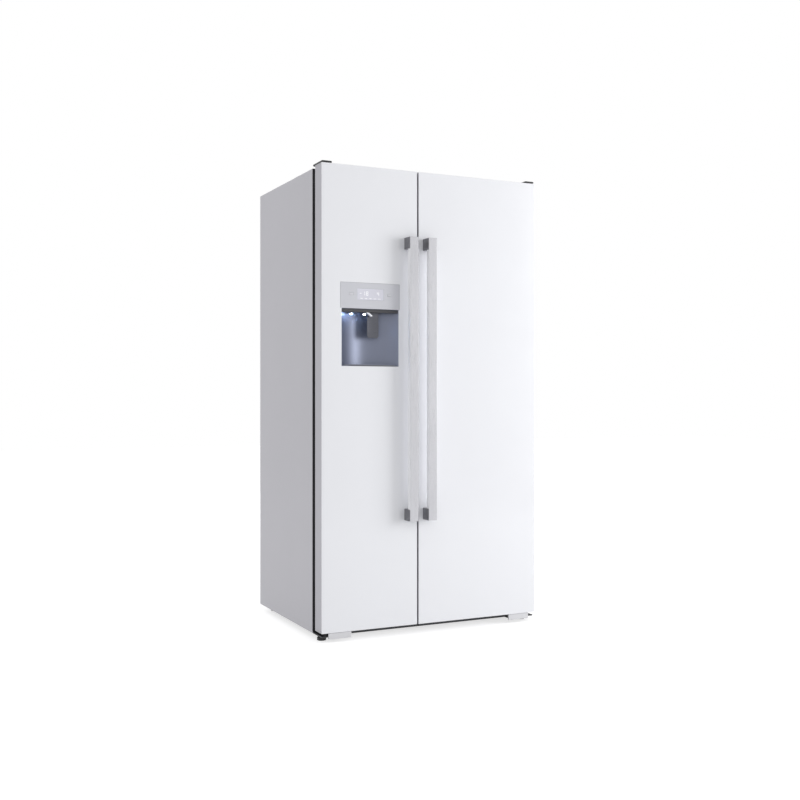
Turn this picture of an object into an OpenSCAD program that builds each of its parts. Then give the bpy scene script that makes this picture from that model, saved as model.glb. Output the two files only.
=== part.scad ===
// Side by side refrigerator with an ice and water dispenser in the freezer door.
// Origin: centre of the footprint on the floor. +X is the viewer's right, +Y the back, +Z up.
// The freezer and its door are on the left, the fridge on the right.

/* [Cabinet] */
// Width of the cabinet and of the two doors together
overall_w = 910; // [860:5:960]
// Height of the cabinet's top above the floor
cabinet_h = 1736; // [1690:2:1860]
// Depth of the cabinet behind the doors
cabinet_d = 602; // [560:2:680]
// Height of the cabinet's lower edge above the floor
underside_z = 22; // [20:1:26]
// Sheet steel thickness
sheet_t = 1; // [0.8:0.1:1.5]
// Side wall, from the outside to the inside of the liner
wall_t = 50; // [44:1:60]
// Roof, from the outside to the inside of the liner
roof_t = 60; // [50:1:75]
// Rear wall, from the outside to the inside of the liner
rear_t = 50; // [44:1:60]
// Thickness of the plastic liners
liner_t = 2; // [1.5:0.5:3]
// Width of the wall between the two compartments
mullion_w = 50; // [46:1:70]
// Height of the compartment floors
floor_z = 130; // [120:1:150]
// Depth of the machine compartment at the back
machine_d = 230; // [200:5:250]
// Height of the machine compartment's roof
machine_h = 330; // [290:5:350]
// Insulation around the machine compartment, liner included
step_t = 45; // [35:1:60]
// Top of the base frame
base_h = 70; // [60:1:80]
// Height of the kick plate's lower edge above the floor
kick_z = 5; // [4:1:10]

/* [Doors] */
// Distance of the split between the doors from the middle, towards the freezer
split_off = 65.6; // [30:0.2:100]
// Gap between the two doors
door_gap = 7; // [4.5:0.5:8]
// Thickness of a door
door_t = 70; // [62:1:85]
// Gap between door and cabinet, which the gasket fills
seal_gap = 24; // [18:1:28]
// Thickness of the glass front
glass_t = 4; // [3:0.5:6]
// Height of the doors' lower edge
door_z = 36; // [30:1:40]
// How far the doors stand above the cabinet
door_rise = 5; // [2:1:10]
// Thickness of the plastic end caps
cap_t = 8; // [5:1:12]
// Depth of the raised rim on the inner door
rim_d = 30; // [20:1:36]
// Reach of the door bins into the compartment
bin_reach = 85; // [60:1:95]
// Height of a door bin
bin_h = 95; // [70:1:120]
// Wall of bins, drawers and the ice bucket
tub_t = 3; // [2:0.5:4]
// Width of a gasket's section
gasket_w = 16; // [12:1:20]

/* [Hinges] */
// Distance of the hinge axis from the cabinet's side
axis_side = 25; // [22:1:30]
// Distance of the hinge axis from the door's back
axis_back = 45; // [36:1:50]
// Radius of the hinge pins
pin_r = 5; // [4:0.5:7]
// Length of pin inside the door
pin_in = 25; // [18:1:35]
// Radial clearance of running fits
fit = 0.05; // [0.02:0.01:0.1]
// Thickness of the hinge plates
plate_t = 4; // [3:0.5:5]

/* [Handles] */
// Width of a handle
handle_w = 36; // [26:1:38]
// Front to back depth of the bar
handle_d = 17; // [12:1:22]
// Distance from the door's face to the handle's front
handle_out = 48; // [42:1:60]
// Lower end of the handles
handle_z0 = 430; // [380:5:600]
// Upper end of the handles
handle_z1 = 1488; // [1400:1:1560]
// Height of a handle's end mount
mount_h = 44; // [30:1:60]
// Distance from the split to the near side of a handle
handle_off = 21; // [16:1:30]
// Thickness of the bar's face over its mounts
handle_face = 2.5; // [2:0.5:4]

/* [Dispenser] */
// Distance of the dispenser's middle from the cabinet's side
dispenser_off = 193; // [186:1:200]
// Width of the control panel
fascia_w = 240; // [220:2:250]
// Height of the control panel
fascia_h = 95; // [85:1:110]
// Thickness of the control panel
fascia_t = 6; // [6:0.5:8]
// Lower edge of the control panel
fascia_z = 1217; // [1150:1:1240]
// Width of the niche
niche_w = 230; // [200:2:232]
// Height of the niche
niche_h = 211; // [180:1:240]
// Depth of the niche at its middle
niche_d = 58; // [50:1:60]
// Width of the display
display_w = 106; // [80:1:120]
// Height of the display
display_h = 42; // [30:1:50]
// Width of a push button
button_w = 15; // [12:1:20]
// Height of a push button
button_h = 8; // [6:1:12]
// Travel of a push button
button_travel = 1; // [0.8:0.1:1.2]
// Height of the dispenser paddle
paddle_h = 92; // [70:1:110]

/* [Inside] */
// Thickness of the glass shelves
shelf_t = 4; // [3:0.5:5]
// Distance from the cabinet's front plane to the shelves
shelf_y = 105; // [100:1:120]
// Depth of the air duct in front of the evaporator
duct_d = 60; // [58:1:70]
// Travel of the drawers behind the closed door
drawer_travel = 70; // [50:1:72]
// Height of the two drawers in each compartment
drawer_h = 195; // [150:5:205]
// Height of the shelf over the drawers
first_shelf = 592; // [585:1:600]
// Distance from one shelf to the next
shelf_pitch = 198; // [185:1:205]
// Radius of the evaporator fan
fan_r = 50; // [40:1:55]
// Radius of the condenser fan
cooling_fan_r = 70; // [60:1:75]
// Radius of the ice auger
auger_r = 38; // [30:1:42]

/* [Feet] */
// Radius of a levelling foot's pad
foot_r = 17; // [15:1:20]
// Radius of a rear roller
roller_r = 18; // [15:1:18]
// Width of a rear roller
roller_w = 22; // [16:1:26]
// Radius of the foot stems and roller axles
stem_r = 5; // [4:0.5:6]

/* [Hidden] */
$fn = 64;
hw = overall_w / 2;
depth = handle_out + door_t + seal_gap + cabinet_d;
y_handle = -depth / 2;
y_door = y_handle + handle_out;
y_core = y_door + glass_t;
y_seal = y_door + door_t;
y_cab = y_seal + seal_gap;
y_back = y_cab + cabinet_d;
y_rear = y_back - rear_t;
y_mach = y_back - machine_d;
y_step = y_mach - step_t;
z_step = machine_h + step_t;
z_roof = cabinet_h - roof_t;
door_top = cabinet_h + door_rise;
side_x = -hw + wall_t;
split_x = -split_off;
axis_x = -hw + axis_side;
axis_y = y_seal - axis_back;
clear = 0.3;
side_clear = 1;
seam = 0.2;
eps = 1;

// Inner doors: gasket insets from the door's edges, rims and bins
seal_hinge = axis_side + 2;
seal_free = 5;
seal_top = door_rise + (roof_t - gasket_w) / 2 - 10;
seal_bottom = floor_z - door_z - gasket_w - 20;
rim_clear = 8;
rim_free = 18;
rim_w = 22;
seat_t = 2;
bin_gap = 0.5;
bin_step = 185;
freezer_bin_z = [for (i = [0 : 3]) 625 + i * 160];
fridge_bin_z = [for (i = [0 : 4]) 625 + i * bin_step];
dairy_h = 110;
dairy_z = z_roof - dairy_h - 32;

// Dispenser
disp_x = -hw + dispenser_off;
niche_z = fascia_z - niche_h;
niche_r = (pow(niche_w / 2, 2) + pow(niche_d, 2)) / (2 * niche_d);
niche_t = 1.2;
proud = 0.5;
panel_gap = 0.4;
chute_w = 70;
chute_x = disp_x + 20;
chute_t = 2;
chute_y = y_door + 18;
chute_low_y = chute_y + 28;
chute_z0 = fascia_z + fascia_h + 13;
chute_z1 = chute_z0 + 70;
display_z = fascia_z + 32;
display_t = 3;
button_t = 3.5;
button_x = display_w / 2 + 24;
button_z = display_z + display_h / 2 - button_h / 2;
paddle_w = 46;
paddle_pin_r = 3;
paddle_x = chute_x;
paddle_y = y_door + 24;
paddle_z = fascia_z - 14;

// Compartments
shelf_y0 = y_cab + shelf_y;
freezer_shelf_y1 = y_rear - duct_d - 16;
fridge_shelf_y1 = y_rear - 16;
shelf_z = [for (i = [0 : 4]) first_shelf + i * shelf_pitch];
ledge_w = 9;
ledge_h = 6;
trim_d = 9;
trim_h = 14;
drawer_y0 = y_cab + rim_d + drawer_travel + 8;
drawer_low_z = floor_z + 8;
drawer_high_z = z_step + 8;
bucket_y0 = y_cab + rim_d + 12;
bucket_y1 = freezer_shelf_y1 - 70;
bucket_z = shelf_z[4] + shelf_t + clear;
bucket_h = 140;
auger_z = bucket_z + auger_r + 14;
cover_y = y_rear - duct_d;
duct_w = 170;
fan_z = shelf_z[2] + shelf_pitch / 2;

// Machine compartment
tray_z = 40;
comp_r = 78;
comp_h = 190;
fan_shaft_r = 2.5;
cooling_fan_y = y_mach + 118;
cooling_fan_x = 55;
cooling_fan_z = tray_z + 20 + cooling_fan_r + 6;
service_x = -hw + 125;
valve_x = -hw + 45;
inlet_x = -hw + 90;
valve_r = 13.2;

// Hinges and their covers; the top hinge's arm is lifted off the door
toe_w = 118;
lift = 1.5;
hinge_z = door_top + lift;
arm_x = -hw + 38;
block_x0 = -hw + 62;
block_x1 = -hw + 100;
cover_t = 2;
cover_x = -hw + 42;
cover_z = door_top + 0.8;
cover_top = hinge_z + plate_t + clear + cover_t;
cover_drop = 1;

// Feet and rollers
foot_x = axis_x;
foot_y = y_seal - 6;
pad_h = 12;
nut_h = 5;
bracket_z = underside_z - 2;
roller_x = hw - 40;
roller_y = y_back - 60;
rail_w = 34;
rear_in = 1.5;
rail_t = 2;

// ---- shapes that repeat ----

// A box given by its two corners
module box(x0, x1, y0, y1, z0, z1) {
    translate([x0, y0, z0]) cube([x1 - x0, y1 - y0, z1 - z0]);
}

// An outline in Y and Z, drawn out along X
module prism_x(x0, x1, points) {
    translate([x0, 0, 0]) rotate([90, 0, 90]) linear_extrude(x1 - x0) polygon(points);
}

// An outline in X and Z, drawn out along Y
module prism_y(y0, y1, points) {
    translate([0, y1, 0]) rotate([90, 0, 0]) linear_extrude(y1 - y0) polygon(points);
}

// A cylinder along X or Y, given by its start and length
module rod_x(x, y, z, r, l) {
    translate([x, y, z]) rotate([0, 90, 0]) cylinder(r = r, h = l);
}

module rod_y(x, y, z, r, l) {
    translate([x, y, z]) rotate([-90, 0, 0]) cylinder(r = r, h = l);
}

// A box along Z whose four upright edges are rounded
module round_bar(x0, x1, y0, y1, z0, z1, r) {
    box(x0 + r, x1 - r, y0, y1, z0, z1);
    box(x0, x1, y0 + r, y1 - r, z0, z1);
    for (x = [x0 + r, x1 - r], y = [y0 + r, y1 - r])
        translate([x, y, z0]) cylinder(r = r, h = z1 - z0);
}

// An open tub with one wall thickness
module tub(x0, x1, y0, y1, z0, z1) {
    difference() {
        box(x0, x1, y0, y1, z0, z1);
        box(x0 + tub_t, x1 - tub_t, y0 + tub_t, y1 - tub_t, z0 + tub_t, z1 + eps);
    }
}

// side is -1 for the freezer and 1 for the fridge. Everything for a side is drawn as if it
// were on the left, where its hinge is at axis_x, and the fridge's is then mirrored.
module handed(side) {
    if (side < 0) children();
    else mirror([1, 0, 0]) children();
}

function split_at(side) = side < 0 ? split_x : -split_x;
function free_x(side) = split_at(side) - door_gap / 2;
function inner_x(side) = split_at(side) - mullion_w / 2;
function rim_x0() = side_x + rim_clear;
function rim_x1(side) = inner_x(side) - rim_free;
function bin_x0() = rim_x0() + rim_w + bin_gap;
function bin_x1(side) = rim_x1(side) - rim_w - bin_gap;

// The space inside a liner, grown by t on every side but the front
module compartment(side, t) {
    prism_x(side_x - t, inner_x(side) + t, [
        [y_cab - eps, floor_z - t], [y_step + t, floor_z - t], [y_step + t, z_step - t],
        [y_rear + t, z_step - t], [y_rear + t, z_roof + t], [y_cab - eps, z_roof + t]]);
}

module front_of_cabinet() {
    box(-hw - eps, hw + eps, y_cab - 2 * eps, y_cab, 0, cabinet_h + eps);
}

// ---- cabinet ----

// One side, with the flange that its front edge is folded into
module side_panel() {
    box(-hw, -hw + sheet_t, y_cab, y_back, underside_z, cabinet_h);
    box(-hw, side_x - liner_t, y_cab, y_cab + sheet_t, underside_z, z_roof + liner_t);
}

// The two sides and the top, which lies between them
module outer_panels() {
    color([0.72, 0.72, 0.74]) {
        side_panel();
        mirror([1, 0, 0]) side_panel();
        box(-hw + sheet_t + seam, hw - sheet_t - seam, y_cab, y_back,
            cabinet_h - sheet_t, cabinet_h);
        box(-hw + sheet_t + seam, hw - sheet_t - seam, y_cab, y_cab + sheet_t,
            z_roof + liner_t + seam, cabinet_h);
    }
}

module rear_panel() {
    color([0.62, 0.63, 0.65])
        box(-hw + sheet_t, hw - sheet_t, y_back - rear_in - sheet_t, y_back - rear_in,
            machine_h, cabinet_h - sheet_t);
}

module insulation() {
    color([0.93, 0.88, 0.68]) difference() {
        box(-hw + sheet_t, hw - sheet_t, y_cab + sheet_t, y_back - rear_in - sheet_t,
            base_h, cabinet_h - sheet_t);
        compartment(-1, liner_t);
        handed(1) compartment(1, liner_t);
        box(-hw, hw, y_mach, y_back, 0, machine_h);
    }
}

// One ledge along each side wall for each shelf
module ledges(side, y1) {
    for (z = shelf_z) {
        box(side_x - liner_t / 2, side_x + ledge_w, shelf_y0 + trim_d, y1, z - ledge_h, z);
        box(inner_x(side) - ledge_w, inner_x(side) + liner_t / 2,
            shelf_y0 + trim_d, y1, z - ledge_h, z);
    }
}

module liner(side, y1) {
    handed(side) {
        difference() {
            compartment(side, liner_t);
            compartment(side, 0);
            front_of_cabinet();
        }
        ledges(side, y1);
    }
}

module freezer_liner() {
    color([0.95, 0.95, 0.96]) liner(-1, freezer_shelf_y1);
}

module fridge_liner() {
    color([0.95, 0.95, 0.96]) liner(1, fridge_shelf_y1);
}

// The strip down the middle wall and the rail under the compartments
module front_frame() {
    color([0.85, 0.85, 0.87]) {
        box(inner_x(-1) + liner_t, -inner_x(1) - liner_t, y_cab, y_cab + sheet_t,
            floor_z - liner_t - eps, z_roof + liner_t);
        box(side_x - liner_t, -side_x + liner_t, y_cab, y_cab + sheet_t,
            base_h, floor_z - liner_t);
    }
}

module base_rail() {
    difference() {
        box(-hw + sheet_t, -hw + sheet_t + rail_w, y_cab + sheet_t, y_back - sheet_t,
            underside_z, base_h - rail_t);
        box(-hw + sheet_t + rail_t, -hw + sheet_t + rail_w - rail_t, y_cab + sheet_t + rail_t,
            y_back, underside_z - eps, base_h - 2 * rail_t);
    }
    // arms that hold the roller's axle
    for (x = [-roller_x - roller_w / 2 - 4, -roller_x + roller_w / 2 + 1])
        difference() {
            box(x, x + 3, roller_y - 14, roller_y + 14, 8, base_h - rail_t - rail_t / 2);
            rod_x(x - eps, roller_y, roller_r, stem_r, 3 + 2 * eps);
        }
}

module base_frame() {
    color([0.2, 0.2, 0.22]) {
        difference() {
            union() {
                base_rail();
                mirror([1, 0, 0]) base_rail();
                box(-hw + sheet_t, hw - sheet_t, y_cab + sheet_t, y_mach,
                    base_h - rail_t, base_h);
                box(side_x - liner_t, -side_x + liner_t, y_cab + 4, y_cab + 4 + rail_t,
                    underside_z, base_h - rail_t);
                box(-hw + sheet_t + rail_w - rail_t, hw - sheet_t - rail_w + rail_t,
                    y_mach - rail_t, y_back - 3, tray_z - rail_t, tray_z);
                box(-hw + sheet_t + rail_w - rail_t, hw - sheet_t - rail_w + rail_t,
                    y_mach - rail_t, y_mach, tray_z - rail_t, base_h);
            }
            for (s = [-1, 1]) {
                box(s * roller_x - roller_w / 2 - 1, s * roller_x + roller_w / 2 + 1,
                    roller_y - roller_r - 4, roller_y + roller_r + 4, 0, base_h - 2 * rail_t);
            }
        }
    }
}

module kick_plate() {
    color([0.3, 0.3, 0.32]) difference() {
        box(side_x - liner_t + 1, -side_x + liner_t - 1, y_cab, y_cab + 3,
            kick_z, base_h - rail_t - clear);
        for (i = [-9 : 9])
            box(i * 40 - 14, i * 40 + 14, y_cab - eps, y_cab + 3 + eps,
                underside_z + 18, underside_z + 26);
    }
}

// ---- hinges ----

module bottom_hinge() {
    difference() {
        union() {
            box(-hw + 3, side_x, axis_y - 16, y_cab, bracket_z, bracket_z + plate_t);
            box(-hw + 3, -hw + toe_w, axis_y - 16, axis_y + 8, bracket_z, bracket_z + plate_t);
            box(-hw + 3, side_x, y_cab - 3, y_cab, bracket_z, bracket_z + 42);
            translate([axis_x, axis_y, bracket_z]) {
                cylinder(r = pin_r, h = door_z + pin_in - bracket_z);
                cylinder(r = pin_r + 4, h = door_z - clear - bracket_z);
            }
        }
        translate([foot_x, foot_y, bracket_z - eps])
            cylinder(r = stem_r + fit, h = plate_t + 2 * eps);
    }
}

// An arm over the door, a step sideways behind it, and a foot on the cabinet's top
module top_hinge() {
    box(-hw + 8, arm_x, axis_y - 14, y_cab - 5, hinge_z, hinge_z + plate_t);
    box(-hw + 8, block_x1, y_seal - 8, y_cab - 5, hinge_z, hinge_z + plate_t);
    box(block_x0, block_x1, y_seal - 8, y_cab + 55, hinge_z, hinge_z + plate_t);
    box(block_x0 + 4, block_x1 - 4, y_cab + 8, y_cab + 50, cabinet_h, hinge_z + eps);
    translate([axis_x, axis_y, door_top - pin_in]) cylinder(r = pin_r, h = pin_in + lift + eps);
    translate([axis_x, axis_y, door_top + clear]) cylinder(r = pin_r + 4, h = lift);
}

module door_hinges() {
    color([0.12, 0.12, 0.13]) for (side = [-1, 1]) handed(side) {
        bottom_hinge();
        top_hinge();
    }
}

// The cap over the arm, open beside the step and thinner behind the pin
module hinge_cover() {
    difference() {
        prism_x(-hw + 1, cover_x, [
            [axis_y - 24, cover_z], [axis_y - 24, cover_top - 3], [axis_y - 21, cover_top],
            [axis_y + 8, cover_top], [axis_y + 13, cover_top - cover_drop],
            [y_cab - 1, cover_top - cover_drop], [y_cab - 1, cover_z]]);
        box(-hw + 1 + cover_t, cover_x - cover_t, axis_y - 18, y_cab - 3, cover_z - eps,
            hinge_z + plate_t + clear);
        box(cover_x - cover_t - eps, cover_x + eps, y_seal - 10, y_cab - 3, cover_z - eps,
            hinge_z + plate_t + clear);
    }
}

// The cap over the hinge's foot on the cabinet
module foot_cover() {
    difference() {
        prism_x(block_x0 - 4, block_x1 + 4, [
            [y_cab + 0.5, cabinet_h], [y_cab + 0.5, cover_top], [y_cab + 62, cover_top],
            [y_cab + 68, cover_top - 5], [y_cab + 68, cabinet_h]]);
        box(block_x0 - 2, block_x1 + 2, y_cab, y_cab + 58, cabinet_h - eps,
            hinge_z + plate_t + clear);
    }
}

// The strip in front of a bottom hinge's arm, under the door
module toe_cover() {
    box(-hw + 28, -hw + toe_w, y_door + 2, axis_y - 16, bracket_z - 7, door_z - 1);
}

module hinge_covers() {
    color([0.08, 0.08, 0.09]) for (side = [-1, 1]) handed(side) {
        hinge_cover();
        foot_cover();
        toe_cover();
    }
}

// ---- inside the machine compartment ----

// A finned block of tube: fins across a coil whose passes run along X
module fin_coil(x0, x1, y0, y1, z0, z1, passes, tube_r, fins) {
    ym = (y0 + y1) / 2;
    pitch = (z1 - z0) / passes;
    for (i = [0 : passes - 1])
        rod_x(x0, ym, z0 + (i + 0.5) * pitch, tube_r, x1 - x0);
    for (i = [0 : passes - 2])
        translate([i % 2 == 0 ? x1 : x0, ym, z0 + (i + 1) * pitch])
            rotate([90, 0, 0]) rotate([0, 0, i % 2 == 0 ? -90 : 90])
                rotate_extrude(angle = 180) translate([pitch / 2, 0]) circle(r = tube_r, $fn = 24);
    for (i = [0 : fins - 1]) {
        x = x0 + 6 + i * (x1 - x0 - 13) / (fins - 1);
        box(x, x + 1, y0, y1, z0, z1);
    }
}

module condenser() {
    color([0.25, 0.25, 0.27])
        fin_coil(-170, -40, y_mach + 20, y_back - 30, tray_z + 30, tray_z + 190, 6, 3, 12);
}

module compressor() {
    x = 270;
    y = (y_mach + y_back) / 2;
    color([0.1, 0.1, 0.11]) {
        translate([x, y, tray_z + 24]) {
            rotate_extrude() {
                square([comp_r - 30, comp_h]);
                translate([0, 30]) square([comp_r, comp_h - 60]);
                translate([comp_r - 30, 30]) circle(r = 30);
                translate([comp_r - 30, comp_h - 30]) circle(r = 30);
            }
            translate([-95, -60, -2]) cube([190, 120, 4]);
        }
        for (sx = [-80, 80], sy = [-45, 45])
            translate([x + sx, y + sy, tray_z]) cylinder(r = 12, h = 24);
        translate([x - comp_r + 4, y - 20, tray_z + 80]) rotate([0, -90, 0]) cylinder(r = 4, h = 40);
        translate([x - 25, y + comp_r - 16, tray_z + 90]) cube([50, 26, 56]);
    }
}

module machine_cover() {
    color([0.35, 0.36, 0.38]) difference() {
        union() {
            box(service_x, hw - sheet_t - clear, y_back - 2, y_back - 0.2,
                base_h + clear, machine_h - clear);
            box(service_x, hw - sheet_t - rail_w - clear, y_back - 2, y_back - 0.2,
                tray_z + clear, base_h + 2);
        }
        for (i = [0 : 12], j = [0 : 5])
            box(service_x + 60 + i * 54, service_x + 96 + i * 54, y_back - 2 - eps, y_back + eps,
                tray_z + 60 + j * 30, tray_z + 68 + j * 30);
    }
}

module water_valve() {
    color([0.85, 0.85, 0.83]) {
        box(valve_x - 22, valve_x + 22, y_back - 62, y_back - 24, tray_z + 62, tray_z + 118);
        rod_y(valve_x, y_back - 25, tray_z + 90, valve_r + 4, 5);
        rod_y(valve_x, y_back - 21, tray_z + 90, valve_r, 18);
        box(valve_x - 16, valve_x + 16, y_back - 110, y_back - 61, tray_z + 70, tray_z + 110);
        // bracket up to the roof of the machine compartment
        box(valve_x - 8, valve_x + 8, y_back - 60, y_back - 56, tray_z + 117, machine_h);
    }
}

module mains_inlet() {
    z = tray_z + 200;
    color([0.07, 0.07, 0.07]) {
        difference() {
            box(inlet_x - 24, inlet_x + 24, y_back - 36, y_back - 4, z - 15, z + 15);
            box(inlet_x - 13, inlet_x + 13, y_back - 20, y_back, z - 9, z + 9);
        }
        for (x = [-7, 0, 7])
            box(inlet_x + x - 1, inlet_x + x + 1, y_back - 21, y_back - 7,
                z - (x == 0 ? 1 : 4), z + (x == 0 ? 3 : 0));
        box(inlet_x - 4, inlet_x + 4, y_back - 34, y_back - 30, z + 14, machine_h);
    }
}

// ---- rollers and feet ----

module roller_axles() {
    color([0.7, 0.7, 0.72]) for (s = [-1, 1])
        rod_x(s * roller_x - roller_w / 2 - 6, roller_y, roller_r, stem_r, roller_w + 12);
}

module roller(s) {
    color([0.15, 0.15, 0.16]) difference() {
        rod_x(s * roller_x - roller_w / 2, roller_y, roller_r, roller_r, roller_w);
        rod_x(s * roller_x - roller_w / 2 - eps, roller_y, roller_r, stem_r + fit,
              roller_w + 2 * eps);
    }
}

module left_roller() { roller(-1); }
module right_roller() { roller(1); }

module foot(side) {
    color([0.1, 0.1, 0.1]) handed(side) translate([foot_x, foot_y, 0]) {
        cylinder(r1 = foot_r - 2, r2 = foot_r, h = 2);
        translate([0, 0, 2]) cylinder(r = foot_r, h = pad_h - 2);
        cylinder(r = 11, h = pad_h + nut_h, $fn = 6);
        cylinder(r = stem_r, h = door_z - 3);
    }
}

module left_foot() { foot(-1); }
module right_foot() { foot(1); }

// Dome heads on the back and on the hinge brackets
module cabinet_screws() {
    color([0.75, 0.75, 0.77]) {
        for (x = [-0.9, -0.3, 0.3, 0.9], z = [machine_h + 14, cabinet_h - 20])
            rod_y(x * hw, y_back - rear_in, z, 4, rear_in - 0.2);
        for (s = [-1, 1], z = [16, 32])
            rod_y(s * (hw - 40), y_cab - 5, bracket_z + z, 4, 2);
    }
}

// ---- shelves and cooling inside the compartments ----

module shelves(side, y1) {
    handed(side) for (z = shelf_z)
        box(side_x + side_clear, inner_x(side) - side_clear, shelf_y0 + trim_d, y1, z, z + shelf_t);
}

module glass_shelves() {
    color([0.75, 0.9, 0.9, 0.5]) {
        shelves(-1, freezer_shelf_y1);
        shelves(1, fridge_shelf_y1);
    }
}

module shelf_trims() {
    color([0.9, 0.93, 0.96]) for (side = [-1, 1]) handed(side) for (z = shelf_z)
        box(side_x + side_clear, inner_x(side) - side_clear, shelf_y0, shelf_y0 + trim_d,
            z + shelf_t - trim_h, z + shelf_t);
}

// The drawers slide on ribs of the liner; each has a pull lip at its front
module drawer(side, y1, z0, h) {
    handed(side) {
        tub(side_x + 5, inner_x(side) - 5, drawer_y0, y1, z0, z0 + h);
        box(side_x + 40, inner_x(side) - 40, drawer_y0 - 6, drawer_y0 + 1, z0 + h - 16, z0 + h - 10);
    }
}

module freezer_drawer_upper() {
    color([0.85, 0.93, 0.98, 0.7]) drawer(-1, cover_y - 14, drawer_high_z, drawer_h);
}

module freezer_drawer_lower() {
    color([0.85, 0.93, 0.98, 0.7]) drawer(-1, y_step - 10, drawer_low_z, drawer_h);
}

module crisper_upper() {
    color([0.85, 0.93, 0.98, 0.7]) drawer(1, y_rear - 20, drawer_high_z, drawer_h);
}

module crisper_lower() {
    color([0.85, 0.93, 0.98, 0.7]) drawer(1, y_step - 10, drawer_low_z, drawer_h);
}

function freezer_mid() = (side_x + inner_x(-1)) / 2;
function fridge_mid() = -(side_x + inner_x(1)) / 2;

module evaporator() {
    color([0.75, 0.77, 0.8])
        fin_coil(side_x + 30, inner_x(-1) - 30, cover_y + 12, y_rear - 6,
                 z_step + 60, z_step + 360, 8, 3.5, 14);
}

module rear_ducts() {
    color([0.93, 0.93, 0.94]) {
        difference() {
            box(side_x + 1, inner_x(-1) - 1, cover_y, cover_y + 3, z_step + 1, shelf_z[4] - 12);
            rod_y(freezer_mid(), cover_y - eps, fan_z, fan_r + 4, 3 + 2 * eps);
        }
        difference() {
            box(fridge_mid() - duct_w / 2, fridge_mid() + duct_w / 2, y_rear - 12, y_rear,
                shelf_z[0] + 20, z_roof - 40);
            for (z = shelf_z, s = [-1, 1])
                box(fridge_mid() + s * 45 - 25, fridge_mid() + s * 45 + 25, y_rear - 12 - eps,
                    y_rear - 6, z + 90, z + 98);
        }
    }
}

// Two fan motors with their shafts, and the motor that turns the ice auger
module motors() {
    color([0.5, 0.5, 0.52]) {
        rod_y(freezer_mid(), cover_y + 20, fan_z, 18, y_rear - cover_y - 20);
        rod_y(freezer_mid(), cover_y - 6, fan_z, fan_shaft_r, 27);
        box(cooling_fan_x - 24, cooling_fan_x + 24, cooling_fan_y + 26, cooling_fan_y + 56,
            tray_z, cooling_fan_z + 24);
        rod_y(cooling_fan_x, cooling_fan_y - 4, cooling_fan_z, fan_shaft_r, 31);
        box(freezer_mid() - 45, freezer_mid() + 45, bucket_y1 + 8, freezer_shelf_y1 - 4,
            bucket_z, bucket_z + 100);
    }
}

// A fan that turns about Y, with flat blades set at an angle
module fan(x, y, z, r, hub_r) {
    blade = r - hub_r;
    translate([x, y, z]) rotate([-90, 0, 0]) difference() {
        union() {
            cylinder(r = hub_r, h = 18);
            for (i = [0 : 4]) rotate([0, 0, i * 72]) translate([hub_r - 2, 0, 9])
                rotate([32, 0, 0]) translate([0, -blade * 0.35, -0.8])
                    cube([blade, blade * 0.7, 1.6]);
        }
        translate([0, 0, -eps]) cylinder(r = fan_shaft_r + fit, h = 20 + eps);
    }
}

module evaporator_fan() {
    color([0.2, 0.2, 0.22]) fan(freezer_mid(), cover_y - 8, fan_z, fan_r, 15);
}

module condenser_fan() {
    color([0.2, 0.2, 0.22]) fan(cooling_fan_x, cooling_fan_y, cooling_fan_z, cooling_fan_r, 20);
}

// ---- ice making ----

module ice_bucket() {
    mid = freezer_mid();
    color([0.88, 0.93, 0.96, 0.7]) difference() {
        tub(side_x + 8, inner_x(-1) - 8, bucket_y0, bucket_y1, bucket_z, bucket_z + bucket_h);
        rod_y(mid, bucket_y0 - eps, auger_z, stem_r + fit, bucket_y1 - bucket_y0 + 2 * eps);
        // mouth over the chute
        box(mid + 45, mid + 115, bucket_y0 - eps, bucket_y0 + tub_t + eps,
            bucket_z + tub_t, bucket_z + 60);
    }
}

module ice_auger() {
    l = bucket_y1 - bucket_y0 - 2 * tub_t - 24;
    y0 = bucket_y0 + tub_t + 12;
    color([0.7, 0.72, 0.74]) {
        rod_y(freezer_mid(), bucket_y0 - 4, auger_z, stem_r, bucket_y1 - bucket_y0 + 8);
        translate([freezer_mid(), y0, auger_z]) rotate([-90, 0, 0]) {
            linear_extrude(l, twist = -360 * 4, slices = 48)
                translate([auger_r - 5, 0]) circle(r = 4, $fn = 8);
            for (z = [0, l]) translate([auger_r / 2 - 2, 0, z])
                rotate([0, 90, 0]) cylinder(r = 3.5, h = auger_r - 6, center = true);
        }
    }
}

module ice_maker() {
    y0 = y_cab + 60;
    y1 = y_cab + 330;
    z0 = bucket_z + bucket_h + 14;
    mid = freezer_mid();
    color([0.8, 0.82, 0.84]) {
        difference() {
            box(mid - 60, mid + 60, y0 + 40, y1, z0, z0 + 38);
            for (i = [0 : 5])
                box(mid - 52, mid + 52, y0 + 48 + i * 36, y0 + 78 + i * 36, z0 + 6, z0 + 40);
        }
        box(mid - 60, mid + 60, y0, y0 + 40, z0 - 6, z0 + 70);
        box(mid - 40, mid + 40, y1 - 10, y1 + 10, z0 + 10, z_roof);
    }
}

// ---- doors ----

// The hole in the freezer door for the control panel and the niche
module dispenser_hole(y0, y1, gap) {
    w = fascia_w / 2 + gap;
    box(disp_x - w, disp_x + w, y0, y1, fascia_z - gap, fascia_z + fascia_h + gap);
    n = niche_w / 2 + 2 * niche_t;
    box(disp_x - n, disp_x + n, y0, y1, niche_z - gap, fascia_z + gap);
}

module door_glass(side) {
    box(-hw, free_x(side), y_door, y_core, door_z, door_top);
}

// The arc of the niche's back in plan, as a cylinder cut off at y0
module niche_arc(r, y0, z0, z1) {
    intersection() {
        translate([disp_x, y_door + niche_d - niche_r, z0]) cylinder(r = r, h = z1 - z0, $fn = 180);
        box(disp_x - niche_w, disp_x + niche_w, y0, y_seal, z0 - eps, z1 + eps);
    }
}

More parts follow.
